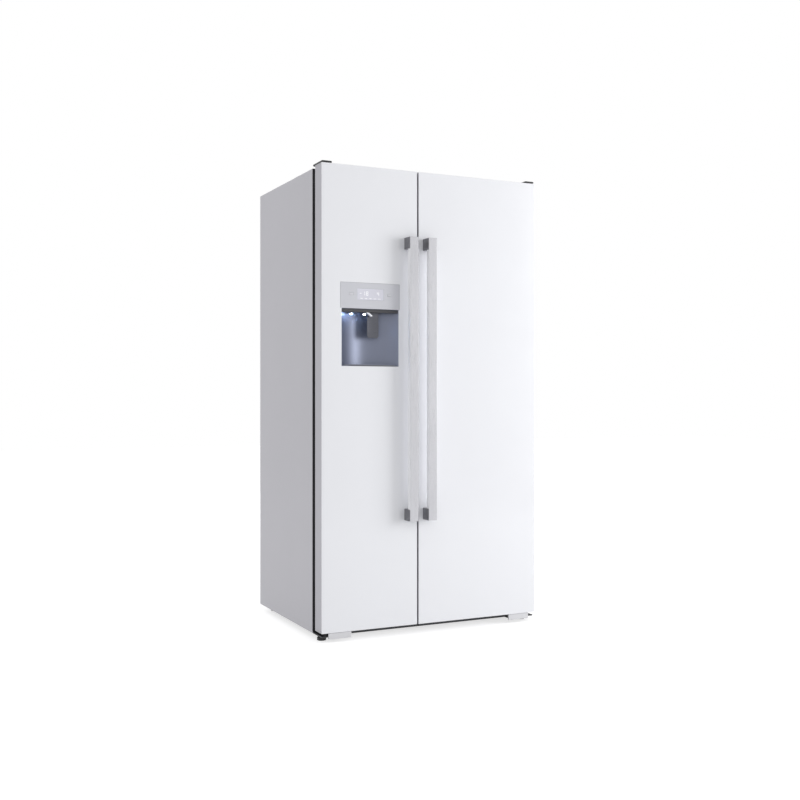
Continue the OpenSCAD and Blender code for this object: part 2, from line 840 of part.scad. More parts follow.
// The slanted ice chute, t thinner all round; over lengthens it past both of its ends
module chute_body(t, over) {
    y1 = y_cab + rim_d - 4;
    z0 = fascia_z + clear;
    prism_x(chute_x + t - chute_w / 2, chute_x - t + chute_w / 2, [
        [chute_y + t, z0 - over], [chute_low_y - t, z0 - over], [chute_low_y - t, z0],
        [y1, chute_z0 + t], [y1 + over, chute_z0 + t], [y1 + over, chute_z1 - t],
        [y1, chute_z1 - t], [chute_y + t, z0]]);
}

module door_core(side) {
    difference() {
        box(-hw, free_x(side), y_core, y_seal, door_z + cap_t, door_top - cap_t);
        for (z = [door_z, door_top - pin_in - 6])
            translate([axis_x, axis_y, z]) cylinder(r = pin_r + 7 + clear, h = pin_in + 6);
        if (side < 0) {
            w = fascia_w / 2 + panel_gap;
            box(disp_x - w, disp_x + w, y_core - eps, y_door + fascia_t + panel_gap,
                fascia_z - panel_gap, fascia_z + fascia_h + panel_gap);
            niche_arc(niche_r + niche_t + clear, y_core - eps, niche_z - clear, fascia_z);
            chute_body(-clear, eps);
        }
    }
}

// End caps of a door with the bushes for the hinge pins
module door_caps(side) {
    difference() {
        union() {
            box(-hw, free_x(side), y_core, y_seal, door_z, door_z + cap_t);
            box(-hw, free_x(side), y_core, y_seal, door_top - cap_t, door_top);
            for (z = [door_z, door_top - pin_in - 6])
                translate([axis_x, axis_y, z]) cylinder(r = pin_r + 7, h = pin_in + 6);
        }
        for (z = [door_z - eps, door_top - pin_in - 1])
            translate([axis_x, axis_y, z]) cylinder(r = pin_r + fit, h = pin_in + 1 + eps);
    }
}

// The inner door: a sheet on the back with a raised rim that the bins hang on
module door_liner(side) {
    difference() {
        union() {
            box(-hw + 3, free_x(side) - 3, y_seal, y_seal + seat_t, door_z + 3, door_top - 3);
            box(rim_x0(), rim_x1(side), y_seal, y_cab + rim_d, floor_z + rim_clear, z_roof - rim_clear);
        }
        box(rim_x0() + rim_w, rim_x1(side) - rim_w, y_seal + seat_t, y_cab + rim_d + eps,
            floor_z + rim_clear + rim_w, z_roof - rim_clear - rim_w);
    }
}

module gasket(side) {
    difference() {
        box(-hw + seal_hinge, free_x(side) - seal_free, y_seal + seat_t, y_cab - clear,
            door_z + seal_bottom, door_top - seal_top);
        box(-hw + seal_hinge + gasket_w, free_x(side) - seal_free - gasket_w,
            y_seal, y_cab, door_z + seal_bottom + gasket_w, door_top - seal_top - gasket_w);
    }
}

// The bar lies between the mounts, and a thin face of it covers their fronts
module handle_bar(side) {
    x0 = split_at(side) - handle_off - handle_w;
    x1 = split_at(side) - handle_off;
    handed(side) {
        round_bar(x0, x1, y_handle, y_handle + handle_d,
                  handle_z0 + mount_h, handle_z1 - mount_h, 2);
        box(x0 + 1, x1 - 1, y_handle, y_handle + handle_face, handle_z0, handle_z1);
    }
}

module handle_mounts(side) {
    x0 = split_at(side) - handle_off - handle_w;
    x1 = split_at(side) - handle_off;
    handed(side) for (z = [handle_z0, handle_z1 - mount_h])
        round_bar(x0, x1, y_handle + handle_face, y_door, z, z + mount_h, 2);
}

module door_bins(side, levels) {
    for (z = levels)
        tub(bin_x0(), bin_x1(side), y_seal + seat_t, y_cab + bin_reach, z, z + bin_h);
}

// ---- freezer door ----

module freezer_door_glass() {
    color([0.96, 0.96, 0.98]) difference() {
        door_glass(-1);
        dispenser_hole(y_door - eps, y_core + eps, panel_gap);
    }
}

module freezer_door_core() {
    color([0.72, 0.72, 0.75]) door_core(-1);
}

module freezer_door_caps() {
    color([0.7, 0.7, 0.72]) door_caps(-1);
}

module freezer_door_liner() {
    color([0.95, 0.95, 0.96]) difference() {
        door_liner(-1);
        chute_body(-clear, eps + 4);
    }
}

module freezer_gasket() {
    color([0.4, 0.4, 0.42]) gasket(-1);
}

module freezer_handle_bar() {
    color([0.78, 0.78, 0.8]) handle_bar(-1);
}

module freezer_handle_mounts() {
    color([0.5, 0.5, 0.52]) handle_mounts(-1);
}

module freezer_bins() {
    color([0.85, 0.93, 0.98, 0.7]) door_bins(-1, freezer_bin_z);
}

// ---- dispenser ----

module button_hole(s) {
    x = disp_x + s * button_x;
    box(x - button_w / 2 - clear, x + button_w / 2 + clear,
        y_door - 2, y_door + button_t + button_travel,
        button_z - clear, button_z + button_h + clear);
}

module push_button(s) {
    x = disp_x + s * button_x;
    box(x - button_w / 2, x + button_w / 2, y_door - proud - 0.5, y_door + button_t - 0.5,
        button_z, button_z + button_h);
}

module dispenser_fascia() {
    color([0.8, 0.8, 0.82]) difference() {
        box(disp_x - fascia_w / 2, disp_x + fascia_w / 2, y_door - proud, y_door + fascia_t,
            fascia_z, fascia_z + fascia_h);
        box(disp_x - display_w / 2 - 0.1, disp_x + display_w / 2 + 0.1, y_door - 2,
            y_door + display_t, display_z - 0.1, display_z + display_h + 0.1);
        button_hole(-1);
        button_hole(1);
    }
}

module dispenser_display() {
    color([0.88, 0.88, 0.93])
        box(disp_x - display_w / 2, disp_x + display_w / 2, y_door - proud - 0.1, y_door + display_t,
            display_z, display_z + display_h);
}

module water_button() { color([0.9, 0.9, 0.92]) push_button(-1); }
module ice_button() { color([0.9, 0.9, 0.92]) push_button(1); }

// The curved steel back of the niche with its floor and ceiling
module dispenser_niche() {
    color([0.6, 0.61, 0.63]) {
        difference() {
            union() {
                difference() {
                    niche_arc(niche_r + niche_t, y_door, niche_z, fascia_z - clear);
                    niche_arc(niche_r, y_door - eps, niche_z - eps, fascia_z + eps);
                }
                niche_arc(niche_r + niche_t / 2, y_door, niche_z, niche_z + 2);
                niche_arc(niche_r + niche_t / 2, y_door, fascia_z - 2, fascia_z - clear);
            }
            box(chute_x + chute_t - chute_w / 2, chute_x - chute_t + chute_w / 2,
                chute_y + chute_t, chute_low_y - chute_t, fascia_z - 5, fascia_z + 5);
        }
        // ears that hold the paddle's pin
        for (s = [-1, 1]) difference() {
            box(paddle_x + s * (paddle_w / 2 + 4) - 1.5, paddle_x + s * (paddle_w / 2 + 4) + 1.5,
                paddle_y - 7, paddle_y + 7, paddle_z - 7, fascia_z - 1);
            rod_x(paddle_x - paddle_w, paddle_y, paddle_z, paddle_pin_r + fit, 2 * paddle_w);
        }
    }
}

module ice_chute() {
    color([0.9, 0.9, 0.9]) difference() {
        chute_body(0, 0);
        chute_body(chute_t, eps);
    }
}

module drip_grille() {
    z = niche_z + 2;
    color([0.5, 0.5, 0.52]) difference() {
        intersection() {
            translate([disp_x, y_door + niche_d - niche_r, z])
                cylinder(r = niche_r - 4, h = 3, $fn = 180);
            box(disp_x - niche_w / 2 + 12, disp_x + niche_w / 2 - 12, y_door + 2, y_seal,
                z - eps, z + 4);
        }
        for (i = [-8 : 8])
            box(disp_x + i * 10 - 2.5, disp_x + i * 10 + 2.5, y_door + 8,
                y_door + 16 + 22 * (1 - pow(i / 9, 2)), z - eps, z + 4);
    }
}

module dispense_paddle() {
    color([0.8, 0.81, 0.84]) {
        rod_x(paddle_x - paddle_w / 2 - 5.5, paddle_y, paddle_z, paddle_pin_r, paddle_w + 11);
        box(paddle_x - paddle_w / 2, paddle_x + paddle_w / 2, paddle_y - 1.5, paddle_y + 1.5,
            paddle_z - paddle_h, paddle_z);
    }
}

// ---- fridge door ----

module fridge_door_glass() {
    color([0.96, 0.96, 0.98]) handed(1) door_glass(1);
}

module fridge_door_core() {
    color([0.72, 0.72, 0.75]) handed(1) door_core(1);
}

module fridge_door_caps() {
    color([0.7, 0.7, 0.72]) handed(1) door_caps(1);
}

module fridge_door_liner() {
    color([0.95, 0.95, 0.96]) handed(1) door_liner(1);
}

module fridge_gasket() {
    color([0.4, 0.4, 0.42]) handed(1) gasket(1);
}

module fridge_handle_bar() {
    color([0.78, 0.78, 0.8]) handle_bar(1);
}

module fridge_handle_mounts() {
    color([0.5, 0.5, 0.52]) handle_mounts(1);
}

// Five bins; the dairy compartment over them has side walls that carry the lid's pin
module fridge_bins() {
    x0 = bin_x0();
    x1 = bin_x1(1);
    color([0.85, 0.93, 0.98, 0.7]) handed(1) {
        door_bins(1, fridge_bin_z);
        difference() {
            union() {
                box(x0, x1, y_seal + seat_t, y_cab + bin_reach - 6, dairy_z, dairy_z + tub_t);
                for (x = [x0, x1 - tub_t])
                    box(x, x + tub_t, y_seal + seat_t, y_cab + bin_reach - 6, dairy_z, dairy_z + dairy_h);
            }
            rod_x(x0 - eps, y_cab + bin_reach - 14, dairy_z + dairy_h - 8, paddle_pin_r + fit,
                  x1 - x0 + 2 * eps);
        }
    }
}

module dairy_lid() {
    x0 = bin_x0() + tub_t + 1;
    x1 = bin_x1(1) - tub_t - 1;
    py = y_cab + bin_reach - 14;
    pz = dairy_z + dairy_h - 8;
    color([0.8, 0.9, 0.97, 0.6]) handed(1) {
        box(x0, x1, py - 2, py + 2, dairy_z + tub_t + 1, pz);
        rod_x(x0 - tub_t, py, pz, paddle_pin_r, x1 - x0 + 2 * tub_t);
        box(x0 + 140, x1 - 140, py + 1, py + 8, dairy_z + tub_t + 8, dairy_z + tub_t + 12);
    }
}

outer_panels();
rear_panel();
insulation();
freezer_liner();
fridge_liner();
front_frame();
base_frame();
kick_plate();
door_hinges();
hinge_covers();
compressor();
condenser();
machine_cover();
water_valve();
mains_inlet();
roller_axles();
cabinet_screws();
glass_shelves();
shelf_trims();
ice_maker();
ice_bucket();
evaporator();
rear_ducts();
motors();
condenser_fan();
evaporator_fan();
ice_auger();
left_foot();
right_foot();
left_roller();
right_roller();
freezer_drawer_upper();
freezer_drawer_lower();
crisper_upper();
crisper_lower();
freezer_door_glass();
freezer_door_core();
freezer_door_caps();
freezer_door_liner();
freezer_gasket();
freezer_handle_bar();
freezer_handle_mounts();
dispenser_fascia();
dispenser_display();
dispenser_niche();
ice_chute();
drip_grille();
freezer_bins();
dispense_paddle();
water_button();
ice_button();
fridge_door_glass();
fridge_door_core();
fridge_door_caps();
fridge_door_liner();
fridge_gasket();
fridge_handle_bar();
fridge_handle_mounts();
fridge_bins();
dairy_lid();
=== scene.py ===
"""Finished pieces, finishes and stage of a side by side refrigerator.

Every length is in metres. Places come from the boxes of the CAD nodes, in whose frame +X is the
viewer's right, +Y the back and +Z up.
"""

from math import pi, radians

import bmesh
import bpy
import numpy as np
from bpy.props import FloatProperty, FloatVectorProperty, PointerProperty
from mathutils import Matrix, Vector


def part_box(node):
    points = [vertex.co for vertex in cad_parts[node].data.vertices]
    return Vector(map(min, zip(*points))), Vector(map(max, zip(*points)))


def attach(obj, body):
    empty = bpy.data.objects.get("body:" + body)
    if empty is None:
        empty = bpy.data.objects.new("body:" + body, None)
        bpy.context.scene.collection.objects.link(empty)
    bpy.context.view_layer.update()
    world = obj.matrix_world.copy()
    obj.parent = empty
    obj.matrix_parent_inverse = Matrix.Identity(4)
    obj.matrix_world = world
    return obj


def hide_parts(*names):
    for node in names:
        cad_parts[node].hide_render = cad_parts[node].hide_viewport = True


bl_info = {
    "name": "Side by Side Refrigerator",
    "version": (1, 0, 0),
    "blender": (4, 5, 0),
    "location": "3D View > Sidebar > Refrigerator",
    "description": "Builds the finished pieces of a side by side refrigerator around its frame",
    "category": "Add Mesh",
}

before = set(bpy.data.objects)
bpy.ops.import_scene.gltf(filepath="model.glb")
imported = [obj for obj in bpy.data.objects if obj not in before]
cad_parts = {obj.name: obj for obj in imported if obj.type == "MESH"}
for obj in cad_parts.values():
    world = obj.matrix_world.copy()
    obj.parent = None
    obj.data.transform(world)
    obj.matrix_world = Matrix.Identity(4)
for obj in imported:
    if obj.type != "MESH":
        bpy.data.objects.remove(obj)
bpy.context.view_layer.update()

MM = 0.001
WELD = 1e-6
QUARTER = np.linspace(0, pi / 2, 5)
SAME_POINT = 0.01 * MM
DOORS = ("freezer", "fridge")
DRAWERS = {"freezer": "freezer_drawer", "fridge": "crisper"}


# ---- properties ----


def length(label, text, value):
    """A length that the user may change."""
    return FloatProperty(name=label, description=text, default=value, min=0.0, unit="LENGTH",
                         subtype="DISTANCE", precision=4)


def paint(label, text, red, green, blue):
    """A colour given as it is seen on a display, from 0 to 255, and kept as linear light."""
    seen = np.array([red, green, blue]) / 255
    light = np.where(seen <= 0.04045, seen / 12.92, ((seen + 0.055) / 1.055) ** 2.4)
    return FloatVectorProperty(name=label, description=text, subtype="COLOR", size=3,
                               min=0.0, max=1.0, default=tuple(float(c) for c in light))


class CabinetSizes(bpy.types.PropertyGroup):
    bend: length("Corner bend", "Outer radius of the bend between sides and top", 3.0 * MM)
    front_bend: length("Front bend", "Outer radius of the bend at the cabinet's front", 2.0 * MM)
    sheet: length("Sheet", "Thickness of the sheet steel", 1.0 * MM)
    bead: length("Bead height", "Height of the beads pressed into the rear panel", 1.1 * MM)
    bead_width: length("Bead width", "Width of the beads pressed into the rear panel", 18 * MM)
    liner_corner: length("Liner corner", "Radius of the liner's inner corners", 24 * MM)
    liner_wall: length("Liner wall", "Thickness of the plastic liners", 2.0 * MM)


class DoorSizes(bpy.types.PropertyGroup):
    glass_edge: length("Glass edge", "Radius of the ground edge of the glass fronts", 1.0 * MM)
    glass_corner: length("Glass corner", "Radius of the corners of the glass fronts", 1.5 * MM)
    seam: length("Seam", "Depth and width of the groove behind the glass", 1.2 * MM)
    back_bend: length("Back bend", "Radius of the door's upright back edges", 6.0 * MM)
    wall: length("Door wall", "Thickness of the door's side sheet", 1.5 * MM)
    rim_round: length("Rim round", "Radius of the inner door's raised rim", 8.0 * MM)
    bar_edge: length("Bar edge", "Radius of the handle's long edges", 1.6 * MM)
    mount_edge: length("Mount edge", "Radius of the edges of the handle mounts", 1.2 * MM)


class DispenserSizes(bpy.types.PropertyGroup):
    niche_round: length("Niche round", "Radius between the niche's back, floor and ceiling", 9 * MM)
    lamp_radius: length("Lamp radius", "Radius of the two lamps in the niche", 4.5 * MM)
    nozzle_radius: length("Nozzle radius", "Outer radius of the water nozzle", 6.5 * MM)
    digit_height: length("Digit height", "Height of the digits on the display", 15 * MM)
    digit_stroke: length("Digit stroke", "Width of a digit's strokes", 2.0 * MM)
    lamp_strength: FloatProperty(name="Lamp strength", description="Brightness of the niche lamps",
                                 default=170.0, min=0.0)


class TubSizes(bpy.types.PropertyGroup):
    wall: length("Wall", "Wall of bins and drawers", 2.4 * MM)
    lip: length("Lip", "Width of the lip round the rim", 5.0 * MM)
    corner: length("Corner", "Radius of the upright corners", 14 * MM)
    foot: length("Foot", "Radius between walls and floor", 7.0 * MM)


class FinishColours(bpy.types.PropertyGroup):
    side_panels: paint("Sides", "Painted steel of the sides and top", 187, 186, 192)
    rear_steel: paint("Rear panel", "Coated steel of the back", 158, 159, 162)
    foam: paint("Foam", "Insulating foam", 236, 222, 178)
    liner: paint("Liners", "Plastic of the compartments and inner doors", 238, 239, 241)
    frame_steel: paint("Frame", "Painted strips between the compartments", 222, 222, 225)
    black_steel: paint("Black steel", "Painted hinges and base frame", 42, 42, 45)
    dark_plastic: paint("Dark plastic", "Kick plate and machine cover", 62, 62, 66)
    black_plastic: paint("Black plastic", "Hinge covers, feet and inlet", 26, 26, 28)
    compressor_paint: paint("Compressor", "Paint of the compressor", 24, 24, 26)
    white_plastic: paint("White plastic", "Ducts and valve", 226, 226, 222)
    bright_steel: paint("Bright steel", "Screws, axles and the auger", 196, 197, 201)
    shelf_glass: paint("Shelf glass", "Glass of the shelves", 236, 248, 246)
    trim_plastic: paint("Trims", "Front strips of shelves and bins", 222, 226, 232)
    clear_plastic: paint("Clear plastic", "Bins, drawers and the ice bucket", 238, 246, 251)
    coil_aluminium: paint("Coils", "Fins and tubes of the two coils", 200, 203, 208)
    motor_steel: paint("Motors", "Casings of the motors", 118, 118, 122)
    roller_plastic: paint("Rollers", "Plastic of the rear rollers", 44, 44, 46)
    white_glass: paint("Door glass", "Back painted glass of the door fronts", 243, 244, 248)
    door_edge: paint("Door sides", "Painted sides of the doors", 180, 179, 186)
    door_cap: paint("Door caps", "Plastic caps of the doors", 176, 176, 181)
    gasket: paint("Gaskets", "Soft plastic of the door gaskets", 38, 38, 41)
    handle_aluminium: paint("Handle faces", "Brushed aluminium of the bars' faces", 184, 184, 188)
    # The bars' sides are near white and barely metallic: painted reflection of the white
    # surroundings in the aluminium.
    polish: paint("Handle bars", "Polished aluminium of the bars' sides", 250, 250, 253)
    mount_metal: paint("Handle mounts", "Cast metal of the mounts", 132, 132, 137)
    fascia_silver: paint("Control panel", "Silver paint of the control panel", 201, 202, 208)
    display: paint("Display", "Lit glass of the display", 222, 222, 233)
    digits: paint("Digits", "Lit strokes on the display", 252, 252, 255)
    # Niche steel is darkened and tinted blue: painted shade of the recess and a painted blue tint
    # from the niche lamps.
    niche_steel: paint("Niche", "Brushed steel of the niche", 122, 127, 143)
    grille_steel: paint("Drip grille", "Steel of the drip grille", 120, 122, 127)
    paddle_metal: paint("Paddle", "Dark metal of the paddle", 92, 93, 99)
    button_plastic: paint("Buttons", "Plastic of the two buttons", 216, 216, 222)
    lamp_light: paint("Niche light", "Colour of the light in the niche", 188, 214, 255)


class StageSettings(bpy.types.PropertyGroup):
    camera_place: FloatVectorProperty(name="Camera", description="Place of the camera", size=3,
                                      subtype="TRANSLATION", unit="LENGTH",
                                      default=(-1.8618, -3.8501, 0.8986))
    camera_turn: FloatProperty(name="Camera turn", description="Turn of the view to the right",
                               subtype="ANGLE", unit="ROTATION", default=radians(25.733))
    lens: FloatProperty(name="Lens", description="Focal length in millimetres on a 36 mm sensor",
                        default=47.23, min=10.0)
    shift_x: FloatProperty(name="Shift across", description="Sideways shift of the lens",
                           default=0.0065)
    shift_y: FloatProperty(name="Shift up", description="Upward shift of the lens",
                           default=-0.0059)
    ambient: FloatProperty(name="Ambient", description="Light from all round", default=0.62,
                           min=0.0)
    key_power: FloatProperty(name="Key lamp", description="Power of the lamp at the right",
                             default=92.0, unit="POWER")
    side_power: FloatProperty(name="Side lamp", description="Power of the lamp at the left",
                              default=29.0, unit="POWER")
    back_power: FloatProperty(name="Back lamp", description="Power of the lamp behind",
                              default=70.0, unit="POWER")


def settings(name):
    """One of the property groups kept on the scene."""
    return getattr(bpy.context.scene, "refrigerator_" + name)


# ---- shapes: each returns (points, quads, caps), which piece() joins into a mesh ----


def corners(node):
    """Lowest and highest corner of a CAD node."""
    lo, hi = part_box(node)
    return np.array(lo), np.array(hi)


def surface(grid, around=False, along=False, cap=False):
    """Quads between the points of a grid. around joins its last column to the first, along its
    last row to the first, and cap closes the first and last rows with one face each."""
    rows, columns = grid.shape[:2]
    index = np.arange(rows * columns).reshape(rows, columns)
    caps = [index[0][::-1], index[-1]] if cap else []
    if along:
        index = np.vstack([index, index[:1]])
    if around:
        index = np.hstack([index, index[:, :1]])
    quads = np.stack([index[:-1, :-1], index[:-1, 1:], index[1:, 1:], index[1:, :-1]], -1)
    return grid.reshape(-1, 3), quads.reshape(-1, 4), caps


def round_rect(u0, u1, v0, v1, radius, inset, steps=6):
    """Rectangles with a quarter circle at each corner, one for each inset. A corner's centre
    lies its radius in from both sides, and the radius shrinks by the inset. radius is one value
    or four, from the corner at high u and high v, counter-clockwise."""
    inset = np.reshape(inset, (-1, 1))
    quarter = np.repeat(np.arange(4), steps + 1)
    angle = quarter * pi / 2 + np.tile(np.linspace(0, pi / 2, steps + 1), 4)
    r = np.maximum(np.broadcast_to(radius, 4)[quarter] - inset, 0)
    right = (quarter == 0) | (quarter == 3)
    u = np.where(right, u1 - inset - r, u0 + inset + r) + r * np.cos(angle)
    v = np.where(quarter < 2, v1 - inset - r, v0 + inset + r) + r * np.sin(angle)
    return u, v


def stack(profile, lo, hi, radius, axis, steps=6):
    """A grid with one rounded rectangle for each (inset, level) of the profile, where level is
    a place along the axis."""
    u, v = (i for i in range(3) if i != axis)
    inset, level = np.array(profile, float).T
    grid = np.empty((len(level), 4 * (steps + 1), 3))
    grid[..., u], grid[..., v] = round_rect(lo[u], hi[u], lo[v], hi[v], radius, inset, steps)
    grid[..., axis] = level[:, None]
    return grid


def plate(lo, hi, radius=2 * MM, edge=0.5 * MM, axis=1, steps=6):
    """A slab between two corners. Across the axis its outline is a rounded rectangle, and at
    both faces it draws in along a quarter circle of the edge's size."""
    inset = edge * (1 - np.sin(QUARTER))
    rise = edge * (1 - np.cos(QUARTER))
    profile = np.column_stack([np.append(inset, inset[::-1]),
                               np.append(lo[axis] + rise, hi[axis] - rise[::-1])])
    return surface(stack(profile, lo, hi, radius, axis, steps), around=True, cap=True)


def ring(profile, lo, hi, radius, axis=1, steps=6):
    """A closed section of (inset, level) carried round a rounded rectangle."""
    return surface(stack(profile, lo, hi, radius, axis, steps), around=True, along=True)


def arc(u, v, radius, start, end, steps=6):
    """Points on a circle about (u, v) between two angles in degrees."""
    angle = np.radians(np.linspace(start, end, steps + 1))
    return np.column_stack([u + radius * np.cos(angle), v + radius * np.sin(angle)])


def tub(lo, hi, sizes, foot=None):
    """An open tub. Its section runs from the floor up the outer wall, out and round the lip,
    down the inner wall and in over the floor."""
    wall, lip = sizes.wall, sizes.lip
    foot = sizes.foot if foot is None else foot
    z0, z1 = lo[2], hi[2]
    turn = 0.8 * MM
    profile = np.vstack([
        arc(lip + foot, z0 + foot, foot, 270, 180),
        [(lip, z1 - lip)],
        arc(turn, z1 - lip + turn, turn, 270, 180, 2),
        arc(turn, z1 - turn, turn, 180, 90, 2),
        arc(lip + wall - turn, z1 - turn, turn, 90, 0, 2),
        arc(lip + wall + foot, z0 + wall + foot, foot, 180, 270)])
    return surface(stack(profile, lo, hi, sizes.corner, 2), around=True, cap=True)


def revolve(profile, origin, direction=(0, 0, 1), steps=32):
    """A profile of (radius, distance) turned about a line through the origin."""
    along = Vector(direction).normalized()
    side = along.orthogonal().normalized()
    up = np.array(along.cross(side))
    radius, distance = np.array(profile, float).T[:, :, None, None]
    angle = np.linspace(0, 2 * pi, steps, endpoint=False)[None, :, None]
    grid = (np.array(origin) + distance * np.array(along)
            + radius * (np.cos(angle) * np.array(side) + np.sin(angle) * up))
    return surface(grid, around=True, cap=True)


def rod(start, radius, end, steps=24):
    """A round pin from a start point to a place on X."""
    long = end - start[0]
    return revolve([(0, 0), (radius, 0), (radius, long), (0, long)], start, (1, 0, 0), steps)


def tube(path, radius, steps=12):
    """A round tube along a path. At each point a circle lies across the path's direction, its
    first axis square to the direction and to a fixed slanted line."""
    path = np.array(path, float)
    along = np.gradient(path, axis=0)
    along /= np.linalg.norm(along, axis=1, keepdims=True)
    side = np.cross(along, np.array([0.31, 0.17, 0.93]))
    side /= np.linalg.norm(side, axis=1, keepdims=True)
    up = np.cross(along, side)
    angle = np.linspace(0, 2 * pi, steps, endpoint=False)[None, :, None]
    circle = np.cos(angle) * side[:, None] + np.sin(angle) * up[:, None]
    return surface(path[:, None] + radius * circle, around=True, cap=True)


def prism(outline, axis, start, end):
    """A closed outline in the two axes across the given one, drawn out along it."""
    u, v = (i for i in range(3) if i != axis)
    grid = np.empty((2, len(outline), 3))
    grid[..., u], grid[..., v] = np.array(outline, float).T[:, None]
    grid[..., axis] = [[start], [end]]
    return surface(grid, around=True, cap=True)


def slab(front, back):
    """Two facing grids joined round their four edges into one closed sheet."""
    loops = [np.concatenate([face[0], face[1:, -1], face[-1, -2::-1], face[-2:0:-1, 0]])
             for face in (front, back)]
    return [surface(front), surface(back[:, ::-1]), surface(np.stack(loops), around=True)]


def piece(name, parts, body, slot, finish, stands_for=(), sharp=38, wall=0.0, ease=0.0):
    """Joins parts into one object that rides on a body. wall thickens an open skin outwards,
    and ease rounds edges sharper than the sharp angle."""
    points, faces, start = [], [], 0
    for part_points, quads, caps in parts:
        points.append(part_points)
        faces += (quads + start).tolist()
        faces += [(cap + start).tolist() for cap in caps]
        start += len(part_points)
    mesh = bpy.data.meshes.new(name)
    mesh.from_pydata(np.concatenate(points).tolist(), [], faces)
    shape = bmesh.new()
    shape.from_mesh(mesh)
    bmesh.ops.remove_doubles(shape, verts=shape.verts, dist=WELD)
    bmesh.ops.dissolve_degenerate(shape, edges=shape.edges, dist=WELD)
    bmesh.ops.recalc_face_normals(shape, faces=shape.faces)
    shape.to_mesh(mesh)
    shape.free()
    mesh.shade_smooth()
    mesh.set_sharp_from_angle(angle=radians(sharp))
    mesh.materials.append(finish)
    made = bpy.data.objects.new(name, mesh)
    bpy.context.collection.objects.link(made)
    if wall:
        skin = made.modifiers.new("Wall", "SOLIDIFY")
        skin.thickness = wall
        skin.offset = 1
        skin.use_even_offset = True
    soften(made, ease, sharp)
    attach(made, body)
    if stands_for:
        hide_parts(*stands_for)
    return made


def soften(target, ease, sharp=38):
    """Rounds sharp edges by a bevel of the given width and shades flat faces flat."""
    if ease:
        bevel = target.modifiers.new("Eased edges", "BEVEL")
        bevel.width = ease
        bevel.segments = 2
        bevel.limit_method = "ANGLE"
        bevel.angle_limit = radians(sharp)
    shading = target.modifiers.new("Flat shading", "WEIGHTED_NORMAL")
    shading.keep_sharp = True


# ---- finishes ----


def add_node(tree, kind, inputs=(), **values):
    """A shader node with its properties set, and its sockets set or joined."""
    made = tree.nodes.new(kind)
    for key, value in values.items():
        setattr(made, key, value)
    for socket, value in dict(inputs).items():
        if isinstance(value, bpy.types.NodeSocket):
            tree.links.new(value, made.inputs[socket])
        else:
            made.inputs[socket].default_value = value
    return made


def grained(name, colour, roughness, metallic=0.0, drift=0.03, patch=5.0, grain=600.0,
            relief=0.15, depth=0.1 * MM, lay=(1, 1, 1), spread=0.06, cells=False, sockets=()):
    """A finish whose colour drifts by a few per cent over wide patches, and whose gloss and
    relief follow a fine grain. lay stretches the grain: a small number draws it out along that
    axis, as brushing does. cells uses the cells of foam or of zinc instead."""
    material = bpy.data.materials.new(name)
    material.use_nodes = True
    tree = material.node_tree
    shader = tree.nodes["Principled BSDF"]
    place = add_node(tree, "ShaderNodeTexCoord").outputs["Object"]
    wide = add_node(tree, "ShaderNodeTexNoise", {"Vector": place, "Scale": patch, "Detail": 3.0})
    drawn = add_node(tree, "ShaderNodeMapping", {"Vector": place, "Scale": lay}).outputs[0]
    if cells:
        fine = add_node(tree, "ShaderNodeTexVoronoi", {"Vector": drawn, "Scale": grain})
        fine_value = fine.outputs["Distance"]
    else:
        fine = add_node(tree, "ShaderNodeTexNoise", {"Vector": drawn, "Scale": grain,
                                                     "Detail": 4.0, "Roughness": 0.6})
        fine_value = fine.outputs[0]
    blend = add_node(tree, "ShaderNodeMath", {0: fine_value, 1: 0.35, 2: wide.outputs[0]},
                     operation="MULTIPLY_ADD")
    tones = add_node(tree, "ShaderNodeValToRGB", {"Fac": blend.outputs[0]})
    low, high = tones.color_ramp.elements
    low.position, high.position = 0.35, 1.0
    low.color = (*(c * (1 - drift) for c in colour), 1)
    high.color = (*(min(1.0, c * (1 + drift)) for c in colour), 1)
    tree.links.new(tones.outputs[0], shader.inputs["Base Color"])
    gloss = add_node(tree, "ShaderNodeMapRange",
                     {"Value": fine_value, "From Min": 0.3, "From Max": 0.7,
                      "To Min": max(0.0, roughness - spread), "To Max": roughness + spread})
    tree.links.new(gloss.outputs[0], shader.inputs["Roughness"])
    bump = add_node(tree, "ShaderNodeBump",
                    {"Height": fine_value, "Strength": relief, "Distance": depth})
    tree.links.new(bump.outputs[0], shader.inputs["Normal"])
    shader.inputs["Metallic"].default_value = metallic
    for socket, value in dict(sockets).items():
        shader.inputs[socket].default_value = value
    return material


def glowing(name, colour, strength):
    """A lit lens. Its light drifts a little over the surface."""
    material = grained(name, colour, 0.3, drift=0.05, grain=300.0)
    shader = material.node_tree.nodes["Principled BSDF"]
    shader.inputs["Emission Color"].default_value = (*colour, 1)
    shader.inputs["Emission Strength"].default_value = strength
    return material


